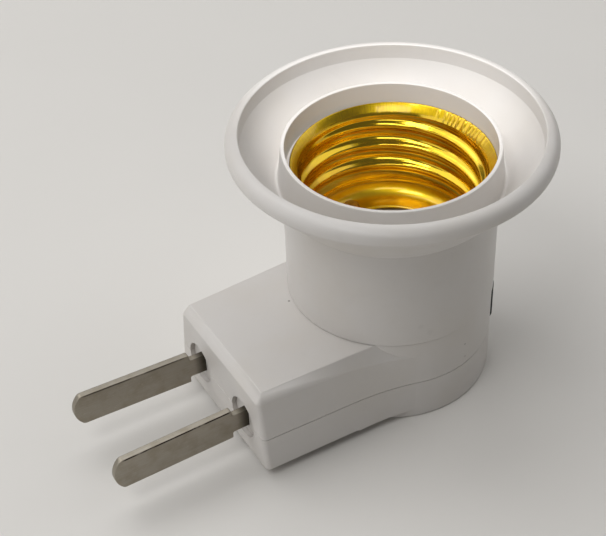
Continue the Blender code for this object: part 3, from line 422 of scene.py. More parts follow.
def thicken(piece, thickness, offset):
    """Gives a sheet its thickness; offset says to which side."""
    sheet = piece.modifiers.new("Sheet", "SOLIDIFY")
    sheet.thickness = thickness * MM
    sheet.offset = offset


def dress(piece, finish, body, slot, *nodes):
    """Gives a piece its material and body, and lets it stand for its CAD nodes. The slot is not
    used.
    """
    piece.data.materials.clear()
    piece.data.materials.append(finish)
    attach(piece, body)
    if nodes:
        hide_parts(*nodes)
    return piece


# Shader helpers


class Value:
    """A socket that can be used in Python sums; each sum adds its Math nodes."""

    def __init__(self, finish, socket):
        self.finish = finish
        self.socket = socket

    def maths(self, operation, *others):
        values = dict(enumerate((self, *others)))
        return self.finish.node("Math", {"operation": operation}, values)

    def __add__(self, other):
        return self.maths("ADD", other)

    def __sub__(self, other):
        return self.maths("SUBTRACT", other)

    def __mul__(self, other):
        return self.maths("MULTIPLY", other)

    def __rsub__(self, other):
        return self.finish.node("Math", {"operation": "SUBTRACT"}, {0: other, 1: self})

    __radd__ = __add__
    __rmul__ = __mul__

    def between(self, low, high):
        """0 below low, 1 above high, and a soft step between them."""
        return self.finish.node(
            "MapRange",
            {"interpolation_type": "SMOOTHSTEP", "clamp": True},
            {"Value": self, "From Min": low, "From Max": high},
        )


class Finish:
    """A material in the making."""

    def __init__(self, name, **fixed):
        self.material = bpy.data.materials.new(name)
        self.material.use_nodes = True
        self.tree = self.material.node_tree
        self.shader = self.tree.nodes["Principled BSDF"]
        for socket, value in fixed.items():
            self.set(socket.replace("_", " ").title().replace("Ior", "IOR"), value)

    def node(self, kind, options=None, values=None, output=0):
        """Adds a node: its options are set first, then its sockets' values or links."""
        made = self.tree.nodes.new("ShaderNode" + kind)
        for option, value in (options or {}).items():
            setattr(made, option, value)
        for socket, value in (values or {}).items():
            if isinstance(value, Value):
                self.tree.links.new(value.socket, made.inputs[socket])
            else:
                made.inputs[socket].default_value = value
        return Value(self, made.outputs[output])

    def set(self, socket, value):
        if isinstance(value, Value):
            self.tree.links.new(value.socket, self.shader.inputs[socket])
        else:
            self.shader.inputs[socket].default_value = value

    def done(self, colour, roughness, normal):
        """Joins up the shader and gives the material."""
        self.set("Base Color", colour)
        self.set("Roughness", roughness)
        self.set("Normal", normal)
        return self.material

    def place(self):
        return self.node("TexCoord", output="Object")

    def stretched(self, scale=(1.0, 1.0, 1.0), turn=(0.0, 0.0, 0.0)):
        """Object coordinates in millimetres, stretched along an axis."""
        return self.node(
            "Mapping",
            {"vector_type": "POINT"},
            {"Vector": self.place(), "Scale": [s / MM for s in scale], "Rotation": turn},
        )

    def noise(self, size, detail=2.0, roughness=0.5, where=(1.0, 1.0, 1.0), distortion=0.0):
        """Noise from 0 to 1 whose features are about size millimetres across. It lies on
        the piece's own coordinates, stretched by three shares, or on those given."""
        values = {
            "Vector": where if isinstance(where, Value) else self.stretched(where),
            "Scale": 1.0 / size,
            "Detail": detail,
            "Roughness": roughness,
            "Distortion": distortion,
        }
        return self.node("TexNoise", {}, values)

    def mix(self, share, first, second):
        """Mixes two colours."""
        values = {0: share, 6: self.colour(first), 7: self.colour(second)}
        return self.node("Mix", {"data_type": "RGBA"}, values, output=2)

    def colour(self, value):
        return value if isinstance(value, Value) else (*value, 1.0)

    def bump(self, height, distance, strength, normal=None):
        values = {"Height": height, "Distance": distance * MM, "Strength": strength}
        if normal:
            values["Normal"] = normal
        return self.node("Bump", {}, values)

    def spot(self, centre, inner, outer):
        """1 inside a small round mark at a place on the piece, 0 outside it."""
        away = self.node(
            "VectorMath",
            {"operation": "DISTANCE"},
            {0: self.place(), 1: [c * MM for c in centre]},
            output="Value",
        )
        return 1.0 - away.between(inner * MM, outer * MM)

    def axis(self, name):
        return self.node("SeparateXYZ", {}, {0: self.stretched()}, output=name)


# Materials

# How strongly the painted shade line under the stamping burr shows on the near pin and on the
# far one
BURR_SHADE = {-1.0: 1.0, 1.0: 0.7}
# Place, radius of the dark middle, radius where it has faded, and strength
DARK_SPECKS = (
    ((-15.22, 3.25, 14.6), 0.10, 0.22, 0.75),
    ((3.13, -14.52, 10.77), 0.08, 0.2, 0.55),
    ((3.28, -14.48, 8.26), 0.08, 0.25, 0.3),
    ((-15.8, -12.6, 4.9), 0.06, 0.2, 0.45),
    ((-3.19, -14.66, 16.5), 0.1, 0.8, 0.06),
    ((-4.49, -14.31, 17.9), 0.05, 0.6, 0.06),
    ((15.3, -16.3, 39.6), 0.08, 0.22, 0.6),
)


def tinted(colour, *shares):
    return tuple(min(part * share, 1.0) for part, share in zip(colour, shares))


def white_plastic(name, specks=True):
    """Glossy-satin white moulding: faint clouding, finger smears, fine grain and dust."""
    colour = tuple(settings().plastic_colour)
    finish = Finish(name, specular_ior_level=0.45)
    cloud = finish.noise(9.0, 3.0)
    smear = finish.noise(2.6, 4.0, 0.6, distortion=0.6).between(0.52, 0.75)
    paint = finish.mix(cloud.between(0.35, 0.7), colour, tinted(colour, 0.985, 0.975, 0.955))
    paint = finish.mix(smear * 0.25, paint, tinted(colour, 0.93, 0.93, 0.93))
    if specks:
        for centre, inner, outer, share in DARK_SPECKS:
            mark = finish.spot(centre, inner, outer)
            paint = finish.mix(mark * share, paint, (0.12, 0.10, 0.085))
    scuff = finish.noise(0.9, 5.0, 0.7, where=(1.0, 0.25, 0.6))
    gloss = settings().plastic_roughness + cloud * 0.05 + smear * 0.05
    grain = finish.noise(0.12, 2.0)
    soft = finish.bump(finish.noise(4.0, 1.0), 0.02, 0.5)
    normal = finish.bump(grain, 0.0025, 0.6, soft)
    return finish.done(paint, gloss + scuff.between(0.62, 0.8) * 0.12, normal)


def golden_metal(name):
    """Golden lacquered sheet: lines round it from rolling, pressed hatching on the flared
    rim, browner tarnish in patches, shallow dents, a duller bowl and a clear lacquer."""
    colour = tuple(settings().shell_colour)
    finish = Finish(name, metallic=1.0, coat_roughness=0.08, coat_ior=1.8)
    height = finish.axis("Z")
    turn = finish.axis("Y").maths("ARCTAN2", finish.axis("X"))
    rings = finish.noise(0.30, 3.0, 0.6, where=(0.06, 0.06, 1.0))
    patch = finish.noise(3.2, 3.0, 0.55)
    hatch_place = finish.node("CombineXYZ", {}, {0: turn * SHELL_RIM[0], 1: height * 0.12})
    hatch = finish.noise(0.22, 2.0, 0.6, where=hatch_place)
    on_rim = height.between(SHELL_NECK[1] + 0.2, SHELL_NECK[1] + 0.7)
    bowl = 1.0 - height.between(THREAD_END - 1.0, THREAD_END + 0.2)
    tarnish = patch.between(0.40, 0.72) * 0.7
    paint = finish.mix(tarnish, colour, tinted(colour, 0.86, 0.74, 0.5))
    streak = hatch.between(0.42, 0.62) * on_rim * 0.35
    paint = finish.mix(streak, paint, tinted(colour, 0.62, 0.58, 0.4))
    finish.set("Coat Weight", patch * 0.3 + 0.3)
    dents = finish.bump(finish.noise(2.2, 2.0), 0.05, 0.7)
    rolled = finish.bump(rings, 0.006, 0.8, dents)
    normal = finish.bump(hatch * on_rim, 0.03, 0.9, rolled)
    rough = rings * 0.08 + patch * 0.06 + on_rim * 0.15 + bowl * 0.22 + 0.09
    return finish.done(paint, rough, normal)


def nickel_plate(name, side, lift):
    """Dull worn nickel plate on stamped strip: brushed along the pin, fine scratches, brown
    stains, a line of painted shade under the stamping burr along the upper edge of the -Y
    face, and painted shade on the neck and tail where they go into the hub."""
    colour = tuple(settings().pin_colour)
    finish = Finish(name, metallic=1.0)
    along, across, up = (finish.axis(axis) for axis in "XYZ")
    brush = finish.noise(0.16, 4.0, 0.65, where=(0.05, 1.0, 1.0))
    patch = finish.noise(2.4, 4.0, 0.6)
    scratch_place = finish.stretched((0.30, 1.0, 1.0), (0.0, 0.5, 0.0))
    scratch = finish.noise(0.22, 2.0, 0.5, where=scratch_place).between(0.68, 0.74)
    stained = tinted(colour, 0.74, 0.70, 0.62)
    paint = finish.mix(patch.between(0.40, 0.75) * 0.55, colour, stained)
    paint = finish.mix(brush.between(0.35, 0.7) * 0.25, paint, stained)
    paint = finish.mix(scratch * 0.4, paint, tinted(colour, 1.4, 1.4, 1.4))
    # Painted shade: a dark line just under the upper edge of the -Y face, standing for the
    # shade under the stamping burr
    rise = up - PARTING_HEIGHT + (along - HUB_FACE_X) * lift
    half = PIN_WIDTH / 2
    edge = rise.between(half - 0.34, half - 0.2) * (1.0 - rise.between(half - 0.06, half))
    broken = finish.noise(1.5, 3.0, 0.6, where=(0.5, 1.0, 1.0))
    outer = along.between(PIN_TIP_X, PIN_TIP_X + 0.8)
    outer = outer * (1.0 - along.between(PIN_ROOT_X - 0.6, PIN_ROOT_X))
    near_face = 1.0 - across.between(side * PIN_OFFSET - 0.25, side * PIN_OFFSET - 0.05)
    burr_shade = edge * broken.between(0.3, 0.5) * outer * near_face
    paint = finish.mix(burr_shade * BURR_SHADE[side], paint, (0.03, 0.02, 0.016))
    # Painted shade: the neck and tail go dark where they enter the hub's recess and slot
    root_shade = along.between(PIN_ROOT_X + 0.6, HUB_FACE_X - 0.2)
    paint = finish.mix(root_shade * 0.85, paint, (0.05, 0.042, 0.03))
    normal = finish.bump(brush, 0.004, 0.8, finish.bump(patch, 0.01, 0.5))
    return finish.done(paint, brush * 0.12 + patch * 0.12 + root_shade * 0.2 + 0.34, normal)


def brass_metal(name):
    finish = Finish(name, metallic=1.0)
    patch = finish.noise(1.6, 4.0, 0.6)
    brush = finish.noise(0.2, 3.0, 0.6, where=(0.1, 1.0, 1.0))
    paint = finish.mix(patch.between(0.4, 0.75) * 0.7, (0.78, 0.56, 0.24), (0.52, 0.34, 0.13))
    normal = finish.bump(brush, 0.004, 0.8)
    return finish.done(paint, brush * 0.15 + patch * 0.12 + 0.22, normal)


def zinc_metal(name):
    finish = Finish(name, metallic=1.0)
    spangle = finish.noise(0.8, 4.0, 0.6)
    paint = finish.mix(spangle.between(0.4, 0.7), (0.66, 0.67, 0.69), (0.44, 0.45, 0.47))
    normal = finish.bump(finish.noise(0.12, 3.0), 0.004, 0.8)
    return finish.done(paint, spangle * 0.18 + 0.22, normal)


def black_moulding(name):
    finish = Finish(name, specular_ior_level=0.25)
    cloud = finish.noise(2.5, 3.0)
    dust = finish.noise(0.18, 1.0).between(0.74, 0.80)
    paint = finish.mix(cloud, (0.005, 0.005, 0.006), (0.010, 0.009, 0.009))
    paint = finish.mix(dust * 0.4, paint, (0.16, 0.15, 0.14))
    normal = finish.bump(finish.noise(0.10, 2.0), 0.004, 0.8)
    return finish.done(paint, cloud * 0.12 + dust * 0.25 + 0.28, normal)


def grey_ceramic(name):
    finish = Finish(name, specular_ior_level=0.35)
    cloud = finish.noise(3.0, 4.0, 0.6)
    grit = finish.noise(0.22, 4.0, 0.7)
    paint = finish.mix(cloud.between(0.3, 0.7), (0.66, 0.63, 0.57), (0.54, 0.51, 0.46))
    paint = finish.mix(grit.between(0.62, 0.75) * 0.35, paint, (0.30, 0.28, 0.25))
    return finish.done(paint, grit * 0.2 + 0.5, finish.bump(grit, 0.02, 0.8))


# Housing


def block_face(mesh, inset=0.0):
    """The plug block's outline at the parting height, as one face at height 0. Its sides
    run straight from round corners into a hollow blend that ends at the round base."""
    front = -BLOCK_LENGTH + inset
    half = BLOCK_HALF_WIDTH - inset
    radius = BASE_RADIUS - inset - 0.02
    blend = BLEND_RADIUS + inset
    corner = max(BLOCK_CORNER - inset / 2, 0.2)
    away = (half - front * math.tan(SIDE_TAPER)) * math.cos(SIDE_TAPER)
    centre_angle = math.pi - math.asin((away + blend) / (radius + blend)) + SIDE_TAPER
    centre = Vector((math.cos(centre_angle), math.sin(centre_angle))) * (radius + blend)
    line_end = -math.pi / 2 + SIDE_TAPER
    vert = mesh.verts.new((front * MM, 0.0, 0.0))
    vert = line_to(mesh, vert, front, half - corner)
    corner_turn = SIDE_TAPER - math.pi / 2
    vert = spun_vert(mesh, vert, (front + corner, half - corner), corner_turn, 8)
    blend_x = centre.x + blend * math.cos(line_end)
    vert = line_to(mesh, vert, blend_x, centre.y + blend * math.sin(line_end))
    vert = spun_vert(mesh, vert, centre, centre_angle - math.pi - line_end, 28)
    vert = line_to(mesh, vert, BLOCK_ROOT[0], BLOCK_ROOT[1] - inset)
    line_to(mesh, vert, BLOCK_ROOT[0], 0.0)
    mirrored(mesh)
    spare = [v for v in mesh.verts if abs(v.co.y) < HAIR and len(v.link_edges) == 2]
    bmesh.ops.dissolve_verts(mesh, verts=spare)
    bmesh.ops.edgeloop_fill(mesh, edges=mesh.edges[:])
    return mesh.faces[:][0]


def leaned(place, height, low=PARTING_HEIGHT):
    """A point moved from a low height to another, with the side's draft."""
    x, y = place.x / MM, place.y / MM
    shift = math.tan(SIDE_DRAFT) * (height - low) * share_of(x, DRAFT_END_X, DRAFT_FULL_X)
    return Vector((x, y - shift * math.copysign(1.0, y), height)) * MM


def raised(mesh, face, place):
    """Extrudes a face and puts each new corner where place says."""
    stacked = len(face.edges[0].link_faces) > 1
    made = bmesh.ops.extrude_face_region(mesh, geom=[face])["geom"]
    if stacked:
        bmesh.ops.delete(mesh, geom=[face], context="FACES_ONLY")
    for vert in new_verts(made):
        vert.co = place(vert.co)
    return next(item for item in made if isinstance(item, bmesh.types.BMFace))


def chamfer_height(x):
    drop = CHAMFER_DROP * share_of(x, CHAMFER_LEVEL_X, CHAMFER_ROOT_X)
    return BASE_HEIGHT - CHAMFER_HEIGHT - drop


def chamfer_top(place):
    """Where the chamfer reaches the top face: one straight line along each side."""
    x = max(place.x / MM, -BLOCK_LENGTH + CHAMFER_DEPTH)
    half = TOP_HALF_WIDTH + math.tan(SIDE_TAPER) * (x + BLOCK_LENGTH)
    return Vector((x, math.copysign(half, place.y), BASE_HEIGHT)) * MM


def block_start(inset, low):
    """The block's outline, leaned to the height where a solid starts."""
    mesh = bmesh.new()
    face = block_face(mesh, inset)
    for vert in face.verts:
        vert.co = leaned(vert.co, low)
    return mesh, face


def upper_block(low):
    mesh, face = block_start(0.0, low)
    seam = face.edges[:]
    face = raised(mesh, face, lambda co: leaned(co, chamfer_height(co.x / MM)))
    chamfer = face.edges[:]
    face = raised(mesh, face, chamfer_top)
    bmesh.ops.remove_doubles(mesh, verts=face.verts[:], dist=2 * HAIR)
    top_z = BASE_HEIGHT * MM
    top = [e for e in mesh.edges if all(abs(v.co.z - top_z) < HAIR for v in e.verts)]
    rounded(mesh, seam, SEAM_ROUND)
    rounded(mesh, chamfer, CHAMFER_ROUND, 3)
    rounded(mesh, top, TOP_ROUND, 3)
    return tidy(mesh)


def lower_block(high):
    mesh, face = block_start(0.0, BLOCK_CLEARANCE)
    under = face.edges[:]
    face = raised(mesh, face, lambda co: leaned(co, high, BLOCK_CLEARANCE))
    seam = face.edges[:]
    rounded(mesh, under, BOTTOM_ROUND, 4)
    rounded(mesh, seam, SEAM_ROUND)
    return tidy(mesh)


def block_core(low, high):
    """The hollow inside the block."""
    mesh, face = block_start(WALL, low)
    raised(mesh, face, lambda co: leaned(co, high, low))
    return tidy(mesh)


def round_core(low, high):
    """The hollow inside the round base, cut off flat behind the switch's seat."""
    mesh = rod(BASE_RADIUS - WALL, low, high, steps=96)
    for vert in mesh.verts:
        vert.co.x = min(vert.co.x, REAR_WALL_X * MM)
    return tidy(mesh)


def housing_half(name, levels, rounds, segments, block, hollow):
    """A round drum and its half of the block, hollowed between two levels."""
    (low, high), (low_round, high_round) = levels, rounds
    drum = (
        (0.0, low, 0.0),
        (BASE_RADIUS, low, low_round),
        (BASE_RADIUS, high, high_round),
        (0.0, high, 0.0),
    )
    half = new_piece(name, turned(drum, DRUM_STEPS, segments))
    combine(half, block, "UNION")
    combine(half, round_core(*hollow))
    combine(half, block_core(*hollow))
    return half


def finish_half(half, node):
    """Opens the pins' holes and the switch's window and seat, and dresses the half."""
    for _, side in SIDES:
        hole = rod(HUB_RADIUS, -BLOCK_LENGTH - 1.0, -BLOCK_LENGTH + WALL + 0.2, steps=64)
        combine(half, laid_along_x(hole, side * PIN_OFFSET, PARTING_HEIGHT))
    width, height = (size + 2 * PLAY for size in SWITCH_BODY)
    combine(half, box_along_x(REAR_WALL_X - 1.0, BEYOND, width, height))
    seat_x = SWITCH_FRONT - BEZEL - 0.02
    combine(half, box_along_x(seat_x, BEYOND, 2 * BEYOND, SWITCH_HEIGHT + 0.24))
    smooth_flats(half)
    dress(half, white_plastic(half.name + "_finish"), "housing", "white_plastic", node)


def build_housing():
    gap = settings().seam / MM / 2
    low, ceiling = PARTING_HEIGHT + gap, BASE_HEIGHT - TOP_WALL
    hollow = (low - 1.0, ceiling)
    levels, rounds = (low, BASE_HEIGHT), (SEAM_ROUND, DRUM_TOP_ROUND)
    upper = housing_half("upper_housing", levels, rounds, 3, upper_block(low), hollow)
    combine(upper, rod(CUP_OPENING, ceiling - 1.0, BASE_HEIGHT + 1.0))
    finish_half(upper, "upper_base")
    high = PARTING_HEIGHT - gap
    hollow = (BLOCK_CLEARANCE + FLOOR_WALL, high + 1.0)
    levels, rounds = (0.0, high), (BOTTOM_ROUND, SEAM_ROUND)
    lower = housing_half("lower_housing", levels, rounds, 4, lower_block(high), hollow)
    pad_radius, pad_height = SCREW_PAD
    for _, x, y, bottom in COVER_SCREWS:
        pad_top = bottom + SCREW_LEDGE + pad_height
        combine(lower, rod(pad_radius, bottom + FLOOR_WALL / 2, pad_top, (x, y)), "UNION")
        combine(lower, rod(SCREW_RADIUS + 0.15, bottom - 1.0, pad_top + 1.0, (x, y)))
        head_hole = rod(SCREW_HEAD_RADIUS + 0.25, bottom - 1.0, bottom + SCREW_LEDGE, (x, y))
        combine(lower, head_hole)
    finish_half(lower, "lower_cover")


# Cup


def bowed(start, end, sag):
    """The corner that bends a straight run into an arc with this sag."""
    chord = Vector(end) - Vector(start)
    half = chord.length / 2
    radius = (half * half + sag * sag) / (2 * abs(sag))
    swing = math.asin(half / radius)
    side = Vector((chord.y, -chord.x)).normalized()
    rise = radius * (1 / math.cos(swing) - math.cos(swing))
    corner = (Vector(start) + Vector(end)) / 2 + side * math.copysign(rise, sag)
    return (corner.x, corner.y, radius * 0.985)


def build_cup():
    flare_top = (LIP_RADIUS - LIP_WALL, BEAD_BOTTOM)
    dish_edge = (LIP_RADIUS - LIP_WALL, CUP_HEIGHT - DISH_DEPTH)
    section = (
        (LIP_RADIUS, CUP_HEIGHT, 0.18),
        (BEAD_OUTER, CUP_HEIGHT, 1.68),
        (BEAD_OUTER, BEAD_BOTTOM, 0.62),
        (*flare_top, 0.0),
        bowed(FLARE_ROOT, flare_top, FLARE_SAG),
        (*FLARE_ROOT, 0.8),
        (CUP_RADIUS, BASE_HEIGHT + CUP_SEAM, 0.06),
        (SPIGOT_RADIUS, BASE_HEIGHT + CUP_SEAM, 0.0),
        (SPIGOT_RADIUS, SPIGOT_BOTTOM, 0.1),
        (THROAT_RADIUS, SPIGOT_BOTTOM, 0.1),
        (THROAT_RADIUS, LEDGE_HEIGHT, 0.1),
        (SOCKET_BORE, LEDGE_HEIGHT, 0.0),
        (SOCKET_BORE, SOCKET_STEP, 0.05),
        (COLLAR_BORE, SOCKET_STEP, 0.05),
        (COLLAR_BORE, COLLAR_HEIGHT, 0.14),
        (COLLAR_RADIUS, COLLAR_HEIGHT, 0.14),
        (*COLLAR_ROOT, 0.35),
        bowed(COLLAR_ROOT, dish_edge, DISH_SAG),
        (*dish_edge, 0.3),
    )
    cup = new_piece("cup", turned(section, 224, 10), 40.0)
    smooth_flats(cup, 40.0)
    dress(cup, white_plastic("cup_finish"), "housing", "white_plastic", "lamp_cup")


# Screw shell


def shell_radius(height):
    """The shell's inner face without its thread: flared rim, neck, wall and end bead."""
    (rim, rim_height), (neck, neck_height) = SHELL_RIM, SHELL_NECK
    if height > neck_height:
        share = (height - neck_height) / (rim_height - neck_height)
        return neck + (rim - neck) * share**FLARE_CURVE
    bead = END_BEAD * math.exp(-(((height - THREAD_END - 0.1) / 0.3) ** 2))
    return THREAD_RADIUS + (neck - THREAD_RADIUS) * max(0.0, height - NECK_FOOT) - bead


def thread_wave(height, turn):
    """Round hollows that meet narrower round ridges, as a rolled thread has. They fade in
    below the neck and out at the end."""
    top = share_of(height, THREAD_TOP, THREAD_TOP - THREAD_START_FADE)
    end = share_of(height - THREAD_END, *THREAD_END_FADE)
    both = RIDGE_RADIUS + HOLLOW_RADIUS
    slope = math.asin(THREAD_PITCH / 2 / both)
    half_depth = both * (1.0 - math.cos(slope)) / 2
    along = (height - THREAD_RISE) / THREAD_PITCH - turn / math.tau
    away = abs(along - round(along)) * THREAD_PITCH
    if away < HOLLOW_RADIUS * math.sin(slope):
        wave = half_depth - HOLLOW_RADIUS + math.sqrt(HOLLOW_RADIUS**2 - away**2)
    else:
        away = THREAD_PITCH / 2 - away
        wave = RIDGE_RADIUS - half_depth - math.sqrt(RIDGE_RADIUS**2 - away**2)
    return wave * top * end


def crinkle(turn, height):
    """Small pinched folds in the rim, where the flare was pressed over the cup's step."""
    degrees = math.degrees(turn)
    window = max(0.0, 1.0 - abs(degrees - CRINKLE_MIDDLE) / CRINKLE_SPREAD)
    lip = share_of(height, *CRINKLE_LOW) * share_of(height, *CRINKLE_HIGH)
    fold = math.sin(math.radians(degrees * 96.0) + 1.6 * math.sin(math.radians(degrees * 21.0)))
    return -CRINKLE_DEPTH * window**0.5 * lip * max(0.0, fold)


def shell_sheet():
    """The turned sheet before its thread: rim, neck, wall, floor bend and floor."""
    mesh = bmesh.new()
    top = mesh.verts.new((SHELL_RIM[0] * MM, 0.0, SHELL_RIM[1] * MM))
    end = mesh.verts.new((THREAD_RADIUS * MM, 0.0, THREAD_END * MM))
    wall = mesh.edges.new((top, end))
    bmesh.ops.subdivide_edges(mesh, edges=[wall], cuts=SHELL_ROWS)
    for vert in mesh.verts:
        vert.co.x = shell_radius(vert.co.z / MM) * MM
    end = min(mesh.verts, key=lambda vert: vert.co.z)
    bend = THREAD_END - SHELL_FLOOR - SHELL_SHEET
    centre = (THREAD_RADIUS - bend, 0.0, THREAD_END)
    last = spun_vert(mesh, end, centre, math.pi / 2, 8, (0.0, 1.0, 0.0))
    inner = mesh.verts.new((SHELL_FLOOR_RADIUS * MM, 0.0, last.co.z))
    floor = mesh.edges.new((last, inner))
    bmesh.ops.subdivide_edges(mesh, edges=[floor], cuts=3)
    return full_turn(mesh, SHELL_STEPS)


def on_folded_rim(edge):
    """Whether an edge runs round the rim where the folds are."""
    middle = (edge.verts[0].co + edge.verts[1].co) / 2
    level = reach(edge, 2) < HAIR and middle.z > FOLDED_FROM * MM
    return level and FOLDED_TURN[0] < math.atan2(middle.y, middle.x) < FOLDED_TURN[1]


def build_shell():
    mesh = shell_sheet()
    folded = [edge for edge in mesh.edges if on_folded_rim(edge)]
    bmesh.ops.subdivide_edges(mesh, edges=folded, cuts=3)
    for vert in mesh.verts:
        height = vert.co.z / MM
        turn = math.atan2(vert.co.y, vert.co.x)
        flat = math.hypot(vert.co.x, vert.co.y) / MM
        radius = flat + thread_wave(height, turn) + crinkle(turn, height)
        shift = PHOTO_RIGHT * SHELL_SHIFT * share_of(height, *SHELL_SHIFT_HEIGHTS)
        vert.co.x = (radius * math.cos(turn) + shift.x) * MM
        vert.co.y = (radius * math.sin(turn) + shift.y) * MM
    face = max(mesh.faces, key=lambda item: item.calc_center_median().z)
    middle = face.calc_center_median()
    if face.normal.dot(Vector((middle.x, middle.y, 0.0))) > 0.0:
        bmesh.ops.reverse_faces(mesh, faces=mesh.faces[:])
    shell = new_piece("golden_shell", mesh, 60.0)
    thicken(shell, SHELL_SHEET, -1.0)
    dress(shell, golden_metal("shell_finish"), "housing", "golden_sheet", "screw_shell")


# Socket floor


def build_disc():
    section = (
        (DISC_RADIUS, DISC_TOP, 0.2),
        (DISC_RADIUS, DISC_BOTTOM, 0.1),
        (0.0, DISC_BOTTOM, 0.0),
        (0.0, WELL_FLOOR, 0.0),
        (WELL_RADIUS, WELL_FLOOR, 0.25),
        (WELL_RADIUS, DISC_TOP, 0.3),
    )
    disc = new_piece("contact_disc", turned(section, 112, 4))
    dress(disc, grey_ceramic("disc_finish"), "housing", "grey_ceramic", "contact_base")


def build_rivet(node, x, y, height):
    radius, rise = RIVET_HEAD
    bottom, foot = RIVET_FOOT
    section = (
        (0.0, height + rise, 0.0),
        (radius, height + rise, 0.55),
        (radius, height, 0.05),
        (RIVET_SHANK, height, 0.0),
        (RIVET_SHANK, foot, 0.0),
        (radius, foot, 0.05),
        (radius, bottom, 0.2),
        (0.0, bottom, 0.0),
    )
    rivet = new_piece(node + "_head", moved(turned(section, 48, 6), x, y, 0.0))
    dress(rivet, brass_metal(node + "_finish"), "housing", "brass", node)


def build_tongue():
    mesh = bmesh.new()
    start_y = -TONGUE_WIDTH / 2 * MM
    verts = [mesh.verts.new((x * MM, start_y, z * MM)) for x, z in TONGUE_PATH]
    edges = [mesh.edges.new(pair) for pair in zip(verts, verts[1:])]
    across = new_verts(bmesh.ops.extrude_edge_only(mesh, edges=edges)["geom"])
    bmesh.ops.translate(mesh, vec=(0.0, TONGUE_WIDTH * MM, 0.0), verts=across)
    contact = new_piece("spring_contact", tidy(mesh))
    thicken(contact, TONGUE_SHEET, 0.0)
    corner = contact.modifiers.new("Corners", "BEVEL")
    corner.width = 0.1 * MM
    corner.segments = 3
    dress(contact, brass_metal("contact_finish"), "housing", "brass", "centre_contact")


def build_socket_floor():
    build_disc()
    for name, side in SIDES:
        build_rivet(f"shell_rivet_{name}", 0.0, side * 10.4, 20.35)
    build_rivet("centre_rivet", -4.6, 0.0, 18.75)
    build_tongue()


# Pins and hubs


def tip_arc(half, steps):
    """The upper half of the pin's flat round tip, from its middle to its corner."""
    radius = (half * half + PIN_TIP_BULGE**2) / (2 * PIN_TIP_BULGE)
    centre = PIN_TIP_X - PIN_TIP_BULGE + radius
    swings = [math.asin(half / radius) * i / steps for i in range(1, steps)]
    return [(centre - radius * math.cos(a), radius * math.sin(a), 0.0) for a in swings]


def blade(side, lift, spread):
    """A stamped pin: flat round tip, full-width blade, neck and tail."""
    half, neck, tail = PIN_WIDTH / 2, PIN_NECK / 2, PIN_TAIL / 2
    upper = (
        *tip_arc(half, 7),
        (PIN_TIP_X, half, PIN_TIP_CORNER),
        (PIN_ROOT_X, half, PIN_CORNER),
        (PIN_ROOT_X, neck, PIN_CORNER),
        (PIN_NECK_X, neck, 0.1),
        (PIN_NECK_X, tail, 0.1),
        (PIN_TAIL_X, tail, 0.2),
    )
    lower = tuple((x, -z, r) for x, z, r in reversed(upper))
    middle = (PIN_TIP_X - PIN_TIP_BULGE, 0.0, 0.0)
    mesh = moved(outline_face((middle, *upper, *lower), 5), 0.0, -PIN_SHEET / 2, 0.0)
    raised(mesh, mesh.faces[:][0], lambda co: co + Vector((0.0, PIN_SHEET * MM, 0.0)))
    rounded(mesh, [e for e in mesh.edges if reach(e, 1) < HAIR], PIN_RIM)
    tidy(mesh)
    for i in range(1, PIN_CUTS):
        x = PIN_TIP_X + (HUB_FACE_X - PIN_TIP_X) * i / PIN_CUTS
        bmesh.ops.bisect_plane(
            mesh,
            geom=mesh.verts[:] + mesh.edges[:] + mesh.faces[:],
            dist=0.1 * HAIR,
            plane_co=(x * MM, 0.0, 0.0),
            plane_no=(1.0, 0.0, 0.0),
        )
    for vert in mesh.verts:
        outside = max(HUB_FACE_X * MM - vert.co.x, 0.0)
        vert.co.y += side * (PIN_OFFSET * MM + outside * spread)
        vert.co.z += PARTING_HEIGHT * MM + outside * lift
    return mesh


def hub(side):
    """The round white hub: its face is the floor of the recess that the pin stands in."""
    radius = HUB_RADIUS - PLAY / 2
    flange_face, flange_back = HUB_FLANGE_X
    tail_radius, tail_x = HUB_TAIL
    section = (
        (0.0, HUB_FACE_X, 0.0),
        (radius, HUB_FACE_X, 0.06),
        (radius, flange_face, 0.0),
        (HUB_FLANGE_RADIUS, flange_face, 0.1),
        (HUB_FLANGE_RADIUS, flange_back, 0.1),
        (tail_radius, flange_back, 0.0),
        (tail_radius, tail_x, 0.1),
        (0.0, tail_x, 0.0),
    )
    return laid_along_x(turned(section, 72, 3), side * PIN_OFFSET, PARTING_HEIGHT)


def build_pins():
    slots = ((PIN_NECK, PIN_NECK_X + PLAY), (PIN_TAIL, HUB_TAIL[1] + 3.8))
    for name, side in SIDES:
        body = name + "_pin"
        lift, spread = (FAR_LIFT, FAR_SPREAD) if name == "far" else (0.0, 0.0)
        pin = smooth_flats(new_piece(f"{name}_blade", blade(side, lift, spread)))
        plate = nickel_plate(f"{name}_blade_finish", side, lift)
        dress(pin, plate, body, "nickel", f"pin_{name}")
        round_hub = new_piece(f"{name}_hub", hub(side))
        width, y = PIN_SHEET + 2 * PLAY, side * PIN_OFFSET
        for height, back in slots:
            size = (width, height + 2 * PLAY)
            slot = box_along_x(HUB_FACE_X - 1.0, back, *size, y, PARTING_HEIGHT)
            combine(round_hub, slot)
        smooth_flats(round_hub)
        plastic = white_plastic(f"{name}_hub_finish", False)
        dress(round_hub, plastic, body, "white_plastic", f"pin_hub_{name}")


# Switch


